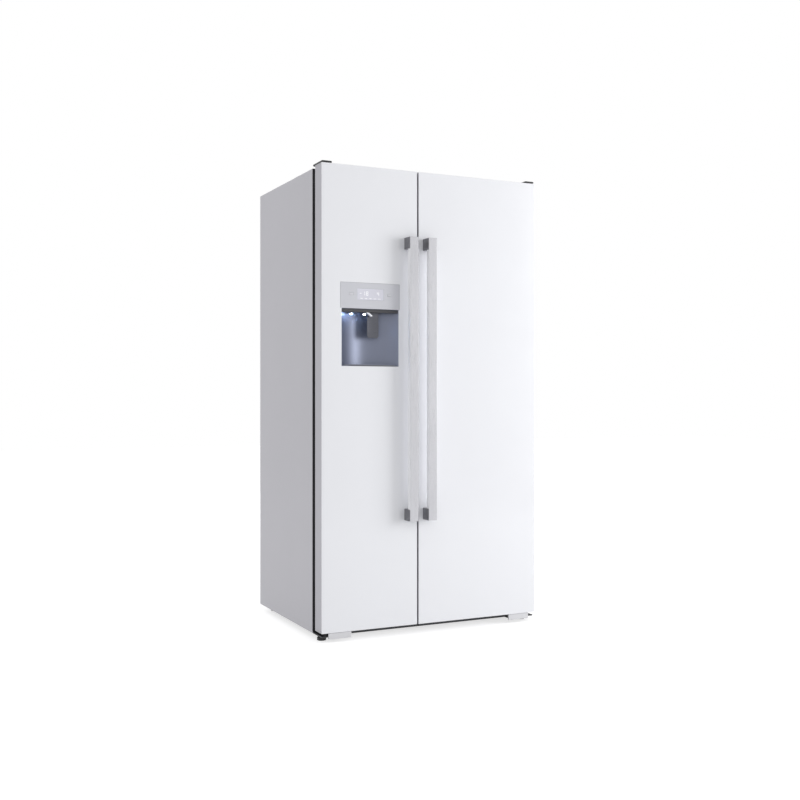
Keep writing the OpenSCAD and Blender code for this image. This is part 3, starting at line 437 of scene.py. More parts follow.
COATED = {"Coat Weight": 0.6, "Coat Roughness": 0.05}
GLASS = {"Transmission Weight": 1.0, "IOR": 1.5}
CLEAR = {"Transmission Weight": 0.94, "IOR": 1.46}
FINISH_FORMS = {
    "side_panels": dict(roughness=0.42, drift=0.012, grain=1400.0, relief=0.12),
    "rear_steel": dict(roughness=0.45, metallic=0.55, drift=0.06, grain=160.0, cells=True),
    "foam": dict(roughness=0.9, drift=0.06, grain=420.0, relief=0.6, depth=0.4 * MM, cells=True),
    "liner": dict(roughness=0.28, drift=0.012, grain=500.0, relief=0.08),
    "frame_steel": dict(roughness=0.35, drift=0.02, grain=1200.0),
    "black_steel": dict(roughness=0.5, drift=0.15, grain=900.0, relief=0.25),
    "dark_plastic": dict(roughness=0.55, drift=0.1, grain=1100.0, relief=0.3),
    "black_plastic": dict(roughness=0.48, drift=0.12, grain=1200.0, relief=0.3),
    "compressor_paint": dict(roughness=0.3, drift=0.15, grain=350.0, relief=0.2, sockets=COATED),
    "white_plastic": dict(roughness=0.4, drift=0.03, grain=900.0),
    "bright_steel": dict(roughness=0.3, metallic=1.0, drift=0.06, grain=900.0),
    "shelf_glass": dict(roughness=0.03, drift=0.01, grain=40.0, relief=0.03, spread=0.02,
                        sockets=GLASS),
    "trim_plastic": dict(roughness=0.25, drift=0.02, grain=700.0),
    "clear_plastic": dict(roughness=0.09, drift=0.01, grain=60.0, relief=0.06, spread=0.03,
                          sockets=CLEAR),
    "coil_aluminium": dict(roughness=0.35, metallic=0.9, drift=0.08, grain=500.0),
    "motor_steel": dict(roughness=0.4, metallic=0.5, drift=0.08, grain=700.0),
    "roller_plastic": dict(roughness=0.5, drift=0.12, grain=900.0, relief=0.25),
    "white_glass": dict(roughness=0.16, drift=0.008, patch=2.5, grain=9.0, relief=0.02,
                        spread=0.03, sockets={"Coat Weight": 0.5, "Coat Roughness": 0.03}),
    "door_edge": dict(roughness=0.4, drift=0.015, grain=1400.0, relief=0.12),
    "door_cap": dict(roughness=0.45, drift=0.03, grain=1100.0, relief=0.2),
    "gasket": dict(roughness=0.6, drift=0.1, grain=700.0, relief=0.2),
    "handle_aluminium": dict(roughness=0.3, metallic=0.92, drift=0.05, grain=1500.0,
                             relief=0.12, lay=(1, 1, 0.01)),
    "mount_metal": dict(roughness=0.38, metallic=0.6, drift=0.06, grain=1200.0, relief=0.2),
    "fascia_silver": dict(roughness=0.36, metallic=0.25, drift=0.02, grain=1800.0,
                          relief=0.08, lay=(0.02, 1, 1)),
    "display": dict(roughness=0.12, drift=0.02, grain=30.0, relief=0.02,
                    sockets={"Coat Weight": 0.8, "Coat Roughness": 0.02}),
    # The niche's dark, bluish base is painted shade of the recess and a painted blue tint from its
    # lamps.
    "niche_steel": dict(roughness=0.42, metallic=0.85, drift=0.05, grain=1500.0, relief=0.2,
                        lay=(0.012, 0.012, 1)),
    "grille_steel": dict(roughness=0.35, metallic=0.8, drift=0.08, grain=900.0),
    "paddle_metal": dict(roughness=0.28, metallic=1.0, drift=0.04, grain=900.0, relief=0.05),
    "button_plastic": dict(roughness=0.3, drift=0.02, grain=900.0),
}


def finish_of(slot):
    """The finish of one of the record's slots, made when first asked for."""
    name = slot + "_finish"
    if name not in bpy.data.materials:
        colour = getattr(settings("colours"), slot)
        grained(name, colour, **FINISH_FORMS[slot])
    return bpy.data.materials[name]


def slotted(name, parts, body, slot, stands_for=(), **options):
    """A piece in the finish of its slot."""
    return piece(name, parts, body, slot, finish_of(slot), stands_for, **options)


# ---- operators ----


class Step:
    """A step of the build. Each operator adds its own build()."""

    def execute(self, context):
        self.build()
        return {"FINISHED"}


class REFRIGERATOR_OT_nodes(Step, bpy.types.Operator):
    """Give the CAD nodes that stay in view their finishes and eased edges"""

    bl_idname = "refrigerator.nodes"
    bl_label = "Node Finishes"

    EASED = {"kick_plate": 0.8, "base_frame": 0.4, "machine_cover": 0.3, "mains_inlet": 0.6,
             "dispenser_fascia": 0.8, "rear_ducts": 0.8, "ice_maker": 1.5, "front_frame": 0.3,
             "glass_shelves": 0.8, "drip_grille": 0.5, "ice_chute": 0.4}

    def build(self):
        for name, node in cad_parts.items():
            slot = node.data.materials[0].name.split(".")[0]
            for index in range(len(node.data.materials)):
                node.data.materials[index] = finish_of(slot)
            if name in self.EASED:
                weld = node.modifiers.new("Weld", "WELD")
                weld.merge_threshold = SAME_POINT
                soften(node, self.EASED[name] * MM)


class REFRIGERATOR_OT_cabinet(Step, bpy.types.Operator):
    """Make the folded steel wrapper and the beaded rear panel"""

    bl_idname = "refrigerator.cabinet"
    bl_label = "Cabinet"

    # Sizes of the dark strips of painted shade on the cabinet's front edge.
    SEAL_WIDTH, SEAL_PROUD, SEAL_SUNK = 24 * MM, 0.8 * MM, 0.4 * MM
    BEAD_SPREAD, BEAD_TALL, BEAD_CORNER = 0.34, 0.4, 30 * MM

    def build(self):
        self.wrapper(settings("cabinet"))
        self.rear_panel(settings("cabinet"))

    def wrapper(self, sizes):
        """A section across the sheet, with the bend and the flange at the cabinet's front, is
        carried up one side, round the corner bend, across the top and down the other side."""
        lo, hi = corners("outer_panels")
        liner_lo, liner_hi = corners("freezer_liner")
        bend, sheet = sizes.front_bend, sizes.sheet
        side_flange = liner_lo[0] - lo[0]
        top_flange = hi[2] - liner_hi[2]
        section = np.vstack([
            [(0, hi[1])], arc(bend, lo[1] + bend, bend, 180, 270, 4),
            [(side_flange, lo[1]), (side_flange, lo[1] + sheet)],
            arc(bend, lo[1] + bend, bend - sheet, 270, 180, 4), [(sheet, hi[1])]])
        inset, level = section.T
        drop = np.where(inset == side_flange, top_flange, inset)
        radius = np.maximum(sizes.bend - inset, 0)
        turn = np.linspace(pi, pi / 2, 7)[:, None]
        left = lo[0] + inset + radius * (1 + np.cos(turn))
        right = hi[0] - inset - radius * (1 + np.cos(turn[::-1]))
        height = hi[2] - drop - radius * (1 - np.sin(turn))
        x = np.vstack([lo[0] + inset, left, right, hi[0] - inset])
        z = np.vstack([np.full_like(inset, lo[2]), height, height[::-1],
                       np.full_like(inset, lo[2])])
        grid = np.stack([x, np.broadcast_to(level, x.shape), z], -1)
        self.edge_seals(lo, hi)
        slotted("cabinet_wrapper", [surface(grid, around=True, cap=True)], "cabinet",
                "side_panels", ["outer_panels"])

    def edge_seals(self, lo, hi):
        """Dark strips on the cabinet's front edge, where the door gaskets close: painted shade that
        stands in for the dark gap between the cabinet and the doors.
        """
        front, back = lo[1] - self.SEAL_PROUD, lo[1] + self.SEAL_SUNK
        strips = [plate((side, front, lo[2] + 4 * MM),
                        (side + self.SEAL_WIDTH, back, hi[2] - 2 * MM), 2 * MM, 0.3 * MM)
                  for side in (lo[0] + 1 * MM, hi[0] - self.SEAL_WIDTH - 1 * MM)]
        slotted("edge_seals", strips, "cabinet", "gasket")

    def rear_panel(self, sizes, columns=152, rows=232):
        """A flat sheet with raised beads: its height is a raised cosine of the distance from
        two upright rounded rectangles."""
        lo, hi = corners("rear_panel")
        x = np.linspace(lo[0], hi[0], columns)[None, :]
        z = np.linspace(lo[2], hi[2], rows)[:, None]
        half = 0.5 * (hi[0] - lo[0])
        tall = self.BEAD_TALL * (hi[2] - lo[2])
        height = np.abs(z - 0.5 * (hi[2] + lo[2])) - tall
        bead = np.zeros((rows, columns))
        for centre in (-0.5 * half, 0.5 * half):
            across = np.abs(x - centre) - self.BEAD_SPREAD * half
            outside = np.hypot(np.maximum(across, 0.0), np.maximum(height, 0.0))
            inside = np.minimum(np.maximum(across, height), 0.0)
            off = np.abs(outside + inside - self.BEAD_CORNER)
            near = np.clip(1 - off / (0.5 * sizes.bead_width), 0, 1)
            bead = np.maximum(bead, 0.5 - 0.5 * np.cos(pi * near))
        raised = np.stack([np.broadcast_to(x, bead.shape), hi[1] + sizes.bead * bead,
                           np.broadcast_to(z, bead.shape)], -1)
        flat = raised.copy()
        flat[..., 1] = lo[1]
        slotted("beaded_rear_panel", slab(raised, flat), "cabinet", "rear_steel",
                ["rear_panel"])


class REFRIGERATOR_OT_liners(Step, bpy.types.Operator):
    """Form the two compartments with their ledges and lamps"""

    bl_idname = "refrigerator.liners"
    bl_label = "Liners"

    BEHIND_DRAWER, UNDER_DRAWER = 10 * MM, 8 * MM
    LAMP_HALF, LAMP_THICK, LAMP_SETBACK = (55 * MM, 16 * MM, 0), 6 * MM, 60 * MM
    LEDGE_REACH, LEDGE_SUNK, LEDGE_DEPTH, LEDGE_GAP = 9 * MM, 1 * MM, 6.2 * MM, 0.1 * MM

    def build(self):
        sizes = settings("cabinet")
        lamp = glowing("cabinet_lamp_finish", (0.95, 0.97, 1.0), 1.5)
        for name in DOORS:
            lo, hi = corners(name + "_liner")
            wall = sizes.liner_wall
            x0, x1, y1 = lo[0] + wall, hi[0] - wall, hi[1] - wall
            step_y = corners(DRAWERS[name] + "_lower")[1][1] + self.BEHIND_DRAWER
            step_z = corners(DRAWERS[name] + "_upper")[0][2] - self.UNDER_DRAWER
            skin = self.skin(x0, x1, lo[1], step_y, y1, lo[2] + wall, step_z, hi[2] - wall,
                             sizes.liner_corner)
            slotted(name + "_liner_skin", [skin], "cabinet", "liner", [name + "_liner"],
                    wall=wall, sharp=50)
            slotted(name + "_shelf_ledges", self.ledges(x0, x1), "cabinet", "liner")
            middle = 0.5 * (x0 + x1)
            at = np.array([middle, lo[1] + self.LAMP_SETBACK, hi[2] - wall - self.LAMP_THICK])
            lens = plate(at - self.LAMP_HALF, at + self.LAMP_HALF + (0, 0, self.LAMP_THICK),
                         6 * MM, 2 * MM, axis=2)
            piece(name + "_lamp", [lens], "cabinet", "white_plastic", lamp)

    def skin(self, x0, x1, front, step_y, rear, floor, step_z, roof, corner, steps=7):
        """The outline of floor, step, back and roof, with arcs at its corners, is repeated from
        one side wall to the other. Near a wall it draws in along a quarter circle, so every
        inner edge has the same radius; the outline of the first and last is the wall."""
        turn = np.linspace(0, pi / 2, steps)
        reach = corner * (1 - np.sin(turn))
        over = corner * (1 - np.cos(turn))
        inset = np.append(reach, reach[::-1])[:, None]
        across = np.append(x0 + over, x1 - over[::-1])[:, None]
        r, soft = corner - inset, 0.5 * corner

        def bend(y, z, radius, start, end):
            angle = np.radians(np.linspace(start, end, steps))[None, :]
            return y + radius * np.cos(angle), z + radius * np.sin(angle)

        bends = [bend(step_y - corner, floor + corner, r, -90, 0),
                 bend(step_y + soft, step_z - soft, soft + inset, 180, 90),
                 bend(rear - corner, step_z + corner, r, -90, 0),
                 bend(rear - corner, roof - corner, r, 0, 90)]
        edge = np.full_like(inset, front)
        y = np.hstack([edge, *(b[0] for b in bends), edge])
        z = np.hstack([floor + inset, *(b[1] for b in bends), roof - inset])
        return surface(np.stack([np.broadcast_to(across, y.shape), y, z], -1), cap=True)

    def ledges(self, x0, x1):
        """Two rounded ledges for each shelf, as long as the shelf is deep."""
        made = []
        for lo, hi in solids("glass_shelves"):
            if x0 < 0.5 * (lo[0] + hi[0]) < x1:
                for a, b in ((x0 - self.LEDGE_SUNK, x0 + self.LEDGE_REACH),
                             (x1 - self.LEDGE_REACH, x1 + self.LEDGE_SUNK)):
                    made.append(plate((a, lo[1], lo[2] - self.LEDGE_DEPTH),
                                      (b, hi[1], lo[2] - self.LEDGE_GAP), 2 * MM, 1.2 * MM))
        return made


def solids(node):
    """The boxes of a node's separate solids, from its loose parts."""
    shape = bmesh.new()
    shape.from_mesh(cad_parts[node].data)
    bmesh.ops.remove_doubles(shape, verts=shape.verts, dist=SAME_POINT)
    left, boxes = set(shape.verts), []
    while left:
        found, edge = set(), [next(iter(left))]
        while edge:
            vert = edge.pop()
            if vert in found:
                continue
            found.add(vert)
            edge += [link.other_vert(vert) for link in vert.link_edges]
        left -= found
        places = np.array([v.co for v in found])
        boxes.append((places.min(0), places.max(0)))
    shape.free()
    return sorted(boxes, key=lambda box: tuple(np.round(np.append(box[0], box[1]), 4)))


class REFRIGERATOR_OT_fronts(Step, bpy.types.Operator):
    """Cut the white glass fronts, one with the opening for the dispenser"""

    bl_idname = "refrigerator.fronts"
    bl_label = "Glass Fronts"

    def build(self):
        sizes = settings("doors")
        lo, hi = corners("fridge_door_glass")
        slotted("fridge_glass_front", [plate(lo, hi, sizes.glass_corner, sizes.glass_edge)],
                "fridge_door", "white_glass", ["fridge_door_glass"])
        slotted("freezer_glass_front", [self.cut_front(sizes)], "freezer_door", "white_glass",
                ["freezer_door_glass"])

    def cut_front(self, sizes, steps=6):
        """Loops round the outer edge, from the back face to the front one, are followed by loops
        round the opening, back again. The opening is wider at the control panel than at the
        niche, so its lower corners each have three points."""
        lo, hi = corners("freezer_door_glass")
        panel_lo, panel_hi = corners("dispenser_fascia")
        niche_lo, niche_hi = corners("dispenser_niche")
        gap, edge, overlap = 0.4 * MM, sizes.glass_edge, 1 * MM
        chamfer, sharp_edge = 0.5 * MM, 0.15 * MM
        inset = edge * (1 - np.sin(QUARTER))
        rise = edge * (1 - np.cos(QUARTER))
        profile = np.column_stack([np.append(inset, inset[::-1]),
                                   np.append(hi[1] - rise, lo[1] + rise[::-1])])
        outer = stack(profile, lo, hi, sizes.glass_corner, 1, steps)
        wide0, wide1 = panel_lo[0] - gap, panel_hi[0] + gap
        slim0, slim1 = niche_lo[0] + overlap, niche_hi[0] - overlap
        top, waist, low = panel_hi[2] + gap, panel_lo[2] - gap, niche_lo[2] - gap
        corner_points = [
            [(wide1, top)], [(wide0, top)],
            [(wide0, waist), (slim0, waist), (slim0, low)],
            [(slim1, low), (slim1, waist), (wide1, waist)]]
        share = np.arange(steps + 1) / (steps + 1)
        opening = np.concatenate([np.array(points)[(share * len(points) + WELD).astype(int)]
                                  for points in corner_points])
        centre = np.array([0.5 * (wide0 + wide1), 0.5 * (top + low)])
        loops = []
        for grow, level in ((chamfer, lo[1]), (sharp_edge, lo[1] + sharp_edge),
                            (0, lo[1] + chamfer), (0, hi[1])):
            spread = opening + grow * np.sign(opening - centre)
            loops.append(np.column_stack([spread[:, 0], np.full(len(spread), level), spread[:, 1]]))
        return surface(np.concatenate([outer, loops]), around=True, along=True)


class REFRIGERATOR_OT_bodies(Step, bpy.types.Operator):
    """Fold the painted sides of the doors and mould their end caps"""

    bl_idname = "refrigerator.bodies"
    bl_label = "Door Bodies"

    def build(self):
        sizes = settings("doors")
        for name in DOORS:
            lo, hi = corners(name + "_door_core")
            slotted(name + "_door_shell", [self.shell(lo, hi, sizes)], name + "_door",
                    "door_edge", [name + "_door_core"])
            cap_lo, cap_hi = corners(name + "_door_caps")
            seam, bend = sizes.seam, sizes.back_bend
            radius = (bend, bend, 1 * MM, 1 * MM)
            parts = []
            for z0, z1 in ((cap_lo[2], lo[2]), (hi[2], cap_hi[2])):
                parts.append(plate((cap_lo[0], cap_lo[1] + seam, z0),
                                   (cap_hi[0], cap_hi[1], z1), radius, 1 * MM, axis=2))
            slotted(name + "_end_caps", parts, name + "_door", "door_cap", [name + "_door_caps"])

    def shell(self, lo, hi, sizes):
        """A sheet folded into a channel in plan: from the groove behind the glass along one side,
        round the back bend, along the back and up the other side, then back along its inner
        face. It is drawn out along the door's height."""
        seam, bend, wall = sizes.seam, sizes.back_bend, sizes.wall
        (x0, y0), (x1, y1) = lo[:2], hi[:2]
        groove = [(x0 + seam, y0), (x0 + seam, y0 + seam), (x0 + 0.3 * seam, y0 + seam),
                  (x0, y0 + 1.4 * seam)]
        outer_back = np.vstack([arc(x0 + bend, y1 - bend, bend, 180, 90),
                                arc(x1 - bend, y1 - bend, bend, 90, 0)])
        inner_back = np.vstack([arc(x1 - bend, y1 - bend, bend - wall, 0, 90),
                                arc(x0 + bend, y1 - bend, bend - wall, 90, 180)])
        far_groove = [(x0 + x1 - x, y) for x, y in groove[::-1]]
        inset = seam + wall
        outline = np.vstack([groove, outer_back, far_groove, [(x1 - inset, y0)],
                             [(x1 - inset, y0 + 2 * seam), (x1 - wall, y0 + 3 * seam)], inner_back,
                             [(x0 + wall, y0 + 3 * seam), (x0 + inset, y0 + 2 * seam),
                              (x0 + inset, y0)]])
        return prism(outline, 2, lo[2], hi[2])


class REFRIGERATOR_OT_inner_doors(Step, bpy.types.Operator):
    """Form the white inner doors with rims and bin hooks, and their pleated gaskets"""

    bl_idname = "refrigerator.inner_doors"
    bl_label = "Inner Doors and Gaskets"

    RIM_WIDTH, RIM_GAP, RIM_INSET, RIM_FILLET = 22 * MM, 0.5 * MM, 10 * MM, 4 * MM
    BIN_HEIGHT = 50 * MM
    HOOK_DEPTH, HOOK_HEIGHT, HOOK_REACH, HOOK_GAP = 46 * MM, 9 * MM, 4 * MM, 0.4 * MM
    GASKET_WIDTH, GASKET_PLEAT = 16 * MM, 0.20

    def build(self):
        sizes = settings("doors")
        for name in DOORS:
            lo, hi = corners(name + "_door_liner")
            seal_lo, seal_hi = corners(name + "_gasket")
            bins = [box for box in solids(name + "_bins")
                    if box[1][2] - box[0][2] > self.BIN_HEIGHT]
            seat = seal_lo[1]
            bin_lo = np.min([b[0] for b in bins], 0)
            bin_hi = np.max([b[1] for b in bins], 0)
            frame_lo, frame_hi = corners(name + "_liner")
            rim_w, gap = self.RIM_WIDTH, self.RIM_GAP
            rim_lo = np.array([bin_lo[0] - rim_w - gap, seat, frame_lo[2] + self.RIM_INSET])
            rim_hi = np.array([bin_hi[0] + rim_w + gap, hi[1], frame_hi[2] - self.RIM_INSET])
            parts = [plate(lo, (hi[0], seat, hi[2]), 8 * MM, 0.8 * MM),
                     self.rim(rim_lo, rim_hi, rim_w, seat, hi[1], sizes.rim_round)]
            parts += self.hooks(bins, rim_lo, rim_hi, rim_w, seat)
            slotted(name + "_inner_door", parts, name + "_door", "liner",
                    [name + "_door_liner"], sharp=45)
            slotted(name + "_door_gasket", [self.gasket(seal_lo, seal_hi)], name + "_door",
                    "gasket", [name + "_gasket"], sharp=60)

    def rim(self, lo, hi, width, seat, top, rounding):
        """A raised rim: up the outer wall, over two quarter circles, down the inner wall and out
        along a small fillet onto the sheet."""
        fillet = self.RIM_FILLET
        section = np.vstack([
            [(0.0, seat - 1 * MM)], arc(rounding, top - rounding, rounding, 180, 90),
            arc(width - rounding, top - rounding, rounding, 90, 0),
            arc(width + fillet, seat + fillet, fillet, 180, 270, 4),
            [(width + fillet, seat - 1 * MM)]])
        return ring(section, lo, hi, 16 * MM, steps=8)

    def hooks(self, bins, lo, hi, rim_w, seat):
        """One rounded boss under each end of each bin, on the rim's inner walls."""
        made = []
        for low, high in bins:
            for a, b in ((lo[0] + rim_w - 1 * MM, low[0] + self.HOOK_REACH),
                         (high[0] - self.HOOK_REACH, hi[0] - rim_w + 1 * MM)):
                made.append(plate((a, seat - 0.5 * MM, low[2] - self.HOOK_HEIGHT),
                                  (b, seat + self.HOOK_DEPTH, low[2] - self.HOOK_GAP),
                                  2 * MM, 1 * MM, axis=0))
        return made

    def gasket(self, lo, hi):
        """A pleated section: its half width is a cosine of the height over the door, one and a
        half waves between the foot and the magnetic head, closed round both ends."""
        width, pleat = self.GASKET_WIDTH, self.GASKET_PLEAT
        level = np.linspace(0, 1, 22)
        half = np.cos(3 * pi * level + 0.4 * np.sin(pi * level))
        half = 0.5 * width * (1 - pleat + pleat * half)
        half *= np.minimum(1, np.sqrt(np.clip((1 - level) * 14, 0, 1)) * 0.25 + 0.78)
        height = lo[1] + level * (hi[1] - lo[1])
        section = np.vstack([np.column_stack([0.5 * width - half, height]),
                             np.column_stack([0.5 * width + half, height])[::-1]])
        return ring(section, lo, hi, 10 * MM, steps=6)


class REFRIGERATOR_OT_handles(Step, bpy.types.Operator):
    """Make the two bar handles on their mounts"""

    bl_idname = "refrigerator.handles"
    bl_label = "Handles"

    FACE_STEP, FACE_INSET, MOUNT_INSET = 0.6 * MM, 0.8 * MM, 0.3 * MM
    BASE_DEPTH, SCREW_SETBACK = 1.2 * MM, 8 * MM
    SCREW = MM * np.array([(0, -0.5), (2.6, -0.5), (2.6, 0.25), (2.2, 0.3), (1.4, 0.05),
                           (0, 0.05)])

    def build(self):
        sizes = settings("doors")
        # Near-white, barely metallic finish for the bars' sides: a painted reflection of the white
        # surroundings.
        polished = grained("polished_bar_finish", settings("colours").polish, 0.24, 0.1,
                           drift=0.02, grain=1500.0, lay=(1, 1, 0.01))
        for name in DOORS:
            lo, hi = corners(name + "_handle_bar")
            mounts = solids(name + "_handle_mounts")
            lower, upper = mounts[0][1][2], mounts[1][0][2]
            face = mounts[0][0][1]
            bar = plate((lo[0], lo[1] + self.FACE_STEP, lower), (hi[0], hi[1], upper),
                        sizes.bar_edge, 0.4 * MM, axis=2)
            strip = plate(lo + (self.FACE_INSET, 0, 0), (hi[0] - self.FACE_INSET, face, hi[2]),
                          1.2 * MM, 0.8 * MM)
            piece(name + "_bar", [bar], name + "_door", "handle_aluminium", polished)
            slotted(name + "_bar_face", [strip], name + "_door", "handle_aluminium",
                    [name + "_handle_bar"])
            blocks, inset = [], (self.MOUNT_INSET, 0, 0)
            for low, high in mounts:
                block_lo, block_hi = low + inset, high - inset
                blocks.append(plate(block_lo, block_hi, 1.5 * MM, sizes.mount_edge, axis=2))
                base_lo = (low[0], high[1] - self.BASE_DEPTH, low[2])
                blocks.append(plate(base_lo, high, 2 * MM, 0.4 * MM))
                outward, side = (-1, block_lo[0]) if name == "freezer" else (1, block_hi[0])
                middle = 0.5 * (low + high)
                blocks.append(revolve(self.SCREW, (side, middle[1] + self.SCREW_SETBACK, middle[2]),
                                      (outward, 0, 0), 20))
            slotted(name + "_mounts", blocks, name + "_door", "mount_metal",
                    [name + "_handle_mounts"])


class REFRIGERATOR_OT_dispenser(Step, bpy.types.Operator):
    """Make the dispenser's niche, lamps, nozzle, paddle, display and buttons"""

    bl_idname = "refrigerator.dispenser"
    bl_label = "Dispenser"

    DIGITS = {"1": "bc", "8": "abcdefg", "4": "bcfg", "-": "g"}
    MARKS, MARK_STEP = 5, 18 * MM
    NICHE_WALL, NICHE_SETBACK, NICHE_LEAST = 1.2 * MM, 0.6 * MM, 0.4 * MM
    HOUSING_HEIGHT, SOCKET_DROP = 11 * MM, 10 * MM
    LAMP_SHARES, NOZZLE_SHARE, NOZZLE_AIM = (0.19, 0.42), 0.42, (1.0, 0.08, -0.8)
    PADDLE_BOW, PADDLE_FRONT, PADDLE_BACK = 0.9 * MM, 1.1 * MM, 0.4 * MM

    def build(self):
        sizes = settings("dispenser")
        self.niche(sizes)
        self.lamps(sizes)
        self.paddle()
        self.display(sizes)
        for name in ("water_button", "ice_button"):
            lo, hi = corners(name)
            slotted(name + "_cap", [plate(lo, hi, 1.5 * MM, 0.6 * MM)], name, "button_plastic",
                    [name])

    def niche(self, sizes):
        """A skin whose back follows an arc in plan. From the front of the floor it runs back to
        the arc, up along it and forward under the ceiling, with quarter circles between; the
        depth at each place across is the arc's, times the share that the path has reached."""
        lo, hi = corners("dispenser_niche")
        wall, setback = self.NICHE_WALL, self.NICHE_SETBACK
        middle, half = 0.5 * (lo[0] + hi[0]), 0.5 * (hi[0] - lo[0]) - wall
        front = lo[1] + setback
        deep = hi[1] - wall - lo[1]
        radius = (half ** 2 + deep ** 2) / (2 * deep)
        across = np.linspace(-half, half, 81)[None, :]
        depth = np.sqrt(radius ** 2 - across ** 2) - (radius - deep) - setback
        depth = np.maximum(depth, self.NICHE_LEAST)
        turn = sizes.niche_round
        share = turn / deep
        bottom, top = lo[2] + wall, hi[2] - wall
        path = np.vstack([
            [(0.0, bottom), (0.5, bottom)],
            arc(0, 0, 1, 270, 360) * (share, turn) + (1 - share, bottom + turn),
            arc(0, 0, 1, 0, 90) * (share, turn) + (1 - share, top - turn),
            [(0.5, top), (0.0, top)]])
        reach, height = path.T[:, :, None]
        y = front + reach * depth
        grid = np.stack([np.broadcast_to(middle + across, y.shape), y,
                         np.broadcast_to(height, y.shape)], -1)
        # The niche's finish carries painted shade of the recess and a painted blue lamp tint.
        slotted("niche_shell", [surface(grid)], "freezer_door", "niche_steel",
                ["dispenser_niche"], wall=wall, sharp=60)

    def lamps(self, sizes):
        """A dark tray under the ceiling and, in front of it, a dark strip that is painted shade for
        the shadowed underside of the ceiling; two sockets with their lenses, and the slanted water
        nozzle."""
        lo, hi = corners("dispenser_niche")
        width = hi[0] - lo[0]
        top = hi[2] - 1.5 * MM
        below = top - self.HOUSING_HEIGHT
        # Painted shade: the dark strip along the front of the ceiling stands in for the ceiling's
        # shadowed underside.
        strip = plate((lo[0] + 3 * MM, lo[1] + 1.5 * MM, below),
                      (hi[0] - 3 * MM, lo[1] + 5 * MM, top), 1 * MM, 0.8 * MM, axis=2)
        tray = plate((lo[0] + 24 * MM, lo[1] + 4 * MM, below),
                     (hi[0] - 24 * MM, lo[1] + 26 * MM, top), 6 * MM, 1.5 * MM, axis=2)
        slotted("lamp_housing", [strip, tray], "freezer_door", "dark_plastic")
        lens_finish = glowing("niche_lamp_finish", settings("colours").lamp_light,
                              sizes.lamp_strength)
        r = sizes.lamp_radius
        lenses, sockets = [], []
        for share in self.LAMP_SHARES:
            place = (lo[0] + share * width, lo[1] + 13 * MM, top - self.SOCKET_DROP)
            sockets.append(revolve([(0, 0), (r + 3 * MM, 0), (r + 2 * MM, 6 * MM),
                                    (r + 0.5 * MM, 7 * MM), (0, 7 * MM)], place, (0, 0, -1), 28))
            lenses.append(revolve([(0, 6.5 * MM), (r, 6.5 * MM), (r, 7.6 * MM),
                                   (0.7 * r, 9.2 * MM), (0, 9.8 * MM)], place, (0, 0, -1), 24))
        slotted("lamp_sockets", sockets, "freezer_door", "dark_plastic")
        piece("niche_lamps", lenses, "freezer_door", "white_plastic", lens_finish)
        r = sizes.nozzle_radius
        profile = [(0, 0), (r, 0), (r, 14 * MM), (0.9 * r, 16 * MM), (0.86 * r, 32 * MM),
                   (0.94 * r, 34 * MM), (0.86 * r, 36 * MM), (0.5 * r, 36 * MM),
                   (0.5 * r, 28 * MM), (0, 28 * MM)]
        start = (lo[0] + self.NOZZLE_SHARE * width, lo[1] + 12 * MM, top - 1 * MM)
        slotted("water_nozzle", [revolve(profile, start, self.NOZZLE_AIM)], "freezer_door",
                "bright_steel")

    def paddle(self):
        """A dished plate under a pin: it bows back along a parabola over its width."""
        lo, hi = corners("dispense_paddle")
        pin_r = 3 * MM
        pin_z = hi[2] - pin_r
        middle = 0.5 * (lo + hi)
        x = np.linspace(lo[0] + 5.5 * MM, hi[0] - 5.5 * MM, 25)[None, :]
        z = np.linspace(pin_z, lo[2] + 0.3 * MM, 30)[:, None]
        half = 0.5 * (x[0, -1] - x[0, 0])
        across = (x - middle[0]) / half
        down = (pin_z - z) / (pin_z - lo[2])
        narrow = np.sqrt(np.clip(1 - np.clip((down - 0.86) / 0.14, 0, 1) ** 2, 0.15, 1))
        x = middle[0] + across * half * (0.72 + 0.28 * narrow)
        bow = self.PADDLE_BOW * (1 - across ** 2) * np.sin(pi * down)
        y = np.broadcast_to(middle[1] + bow, x.shape)
        grid = np.stack([x, y, np.broadcast_to(z, x.shape)], -1)
        plate_parts = slab(grid - (0, self.PADDLE_FRONT, 0), grid + (0, self.PADDLE_BACK, 0))
        pin = rod((lo[0], middle[1], pin_z), pin_r, hi[0])
        slotted("paddle", [*plate_parts, pin], "dispense_paddle", "paddle_metal",
                ["dispense_paddle"])

    def display(self, sizes):
        """A pane with two numbers, whose digits have up to seven strokes, and a row of small
        marks."""
        lo, hi = corners("dispenser_display")
        slotted("display_pane", [plate(lo, hi, 1.2 * MM, 0.4 * MM)], "freezer_door", "display",
                ["dispenser_display"])
        tall, stroke = sizes.digit_height, sizes.digit_stroke
        wide = 0.55 * tall
        base = lo[2] + 0.5 * (hi[2] - lo[2] - tall) + 3 * MM
        parts = []
        for text, start in (("-18", lo[0] + 9 * MM), ("4", hi[0] - 27 * MM)):
            for place, digit in enumerate(text):
                left = start + place * (wide + 2.5 * stroke)
                parts += self.digit(digit, left, base, wide, tall, stroke, lo[1])
        for step in range(self.MARKS):
            left = lo[0] + 12 * MM + self.MARK_STEP * step
            parts.append(plate((left, lo[1] - 0.12 * MM, lo[2] + 5 * MM),
                               (left + 10 * MM, lo[1] + 0.3 * MM, lo[2] + 6.4 * MM), 0.6 * MM,
                               0.05 * MM))
        finish = glowing("digit_finish", settings("colours").digits, 0.25)
        piece("display_digits", parts, "freezer_door", "display", finish)

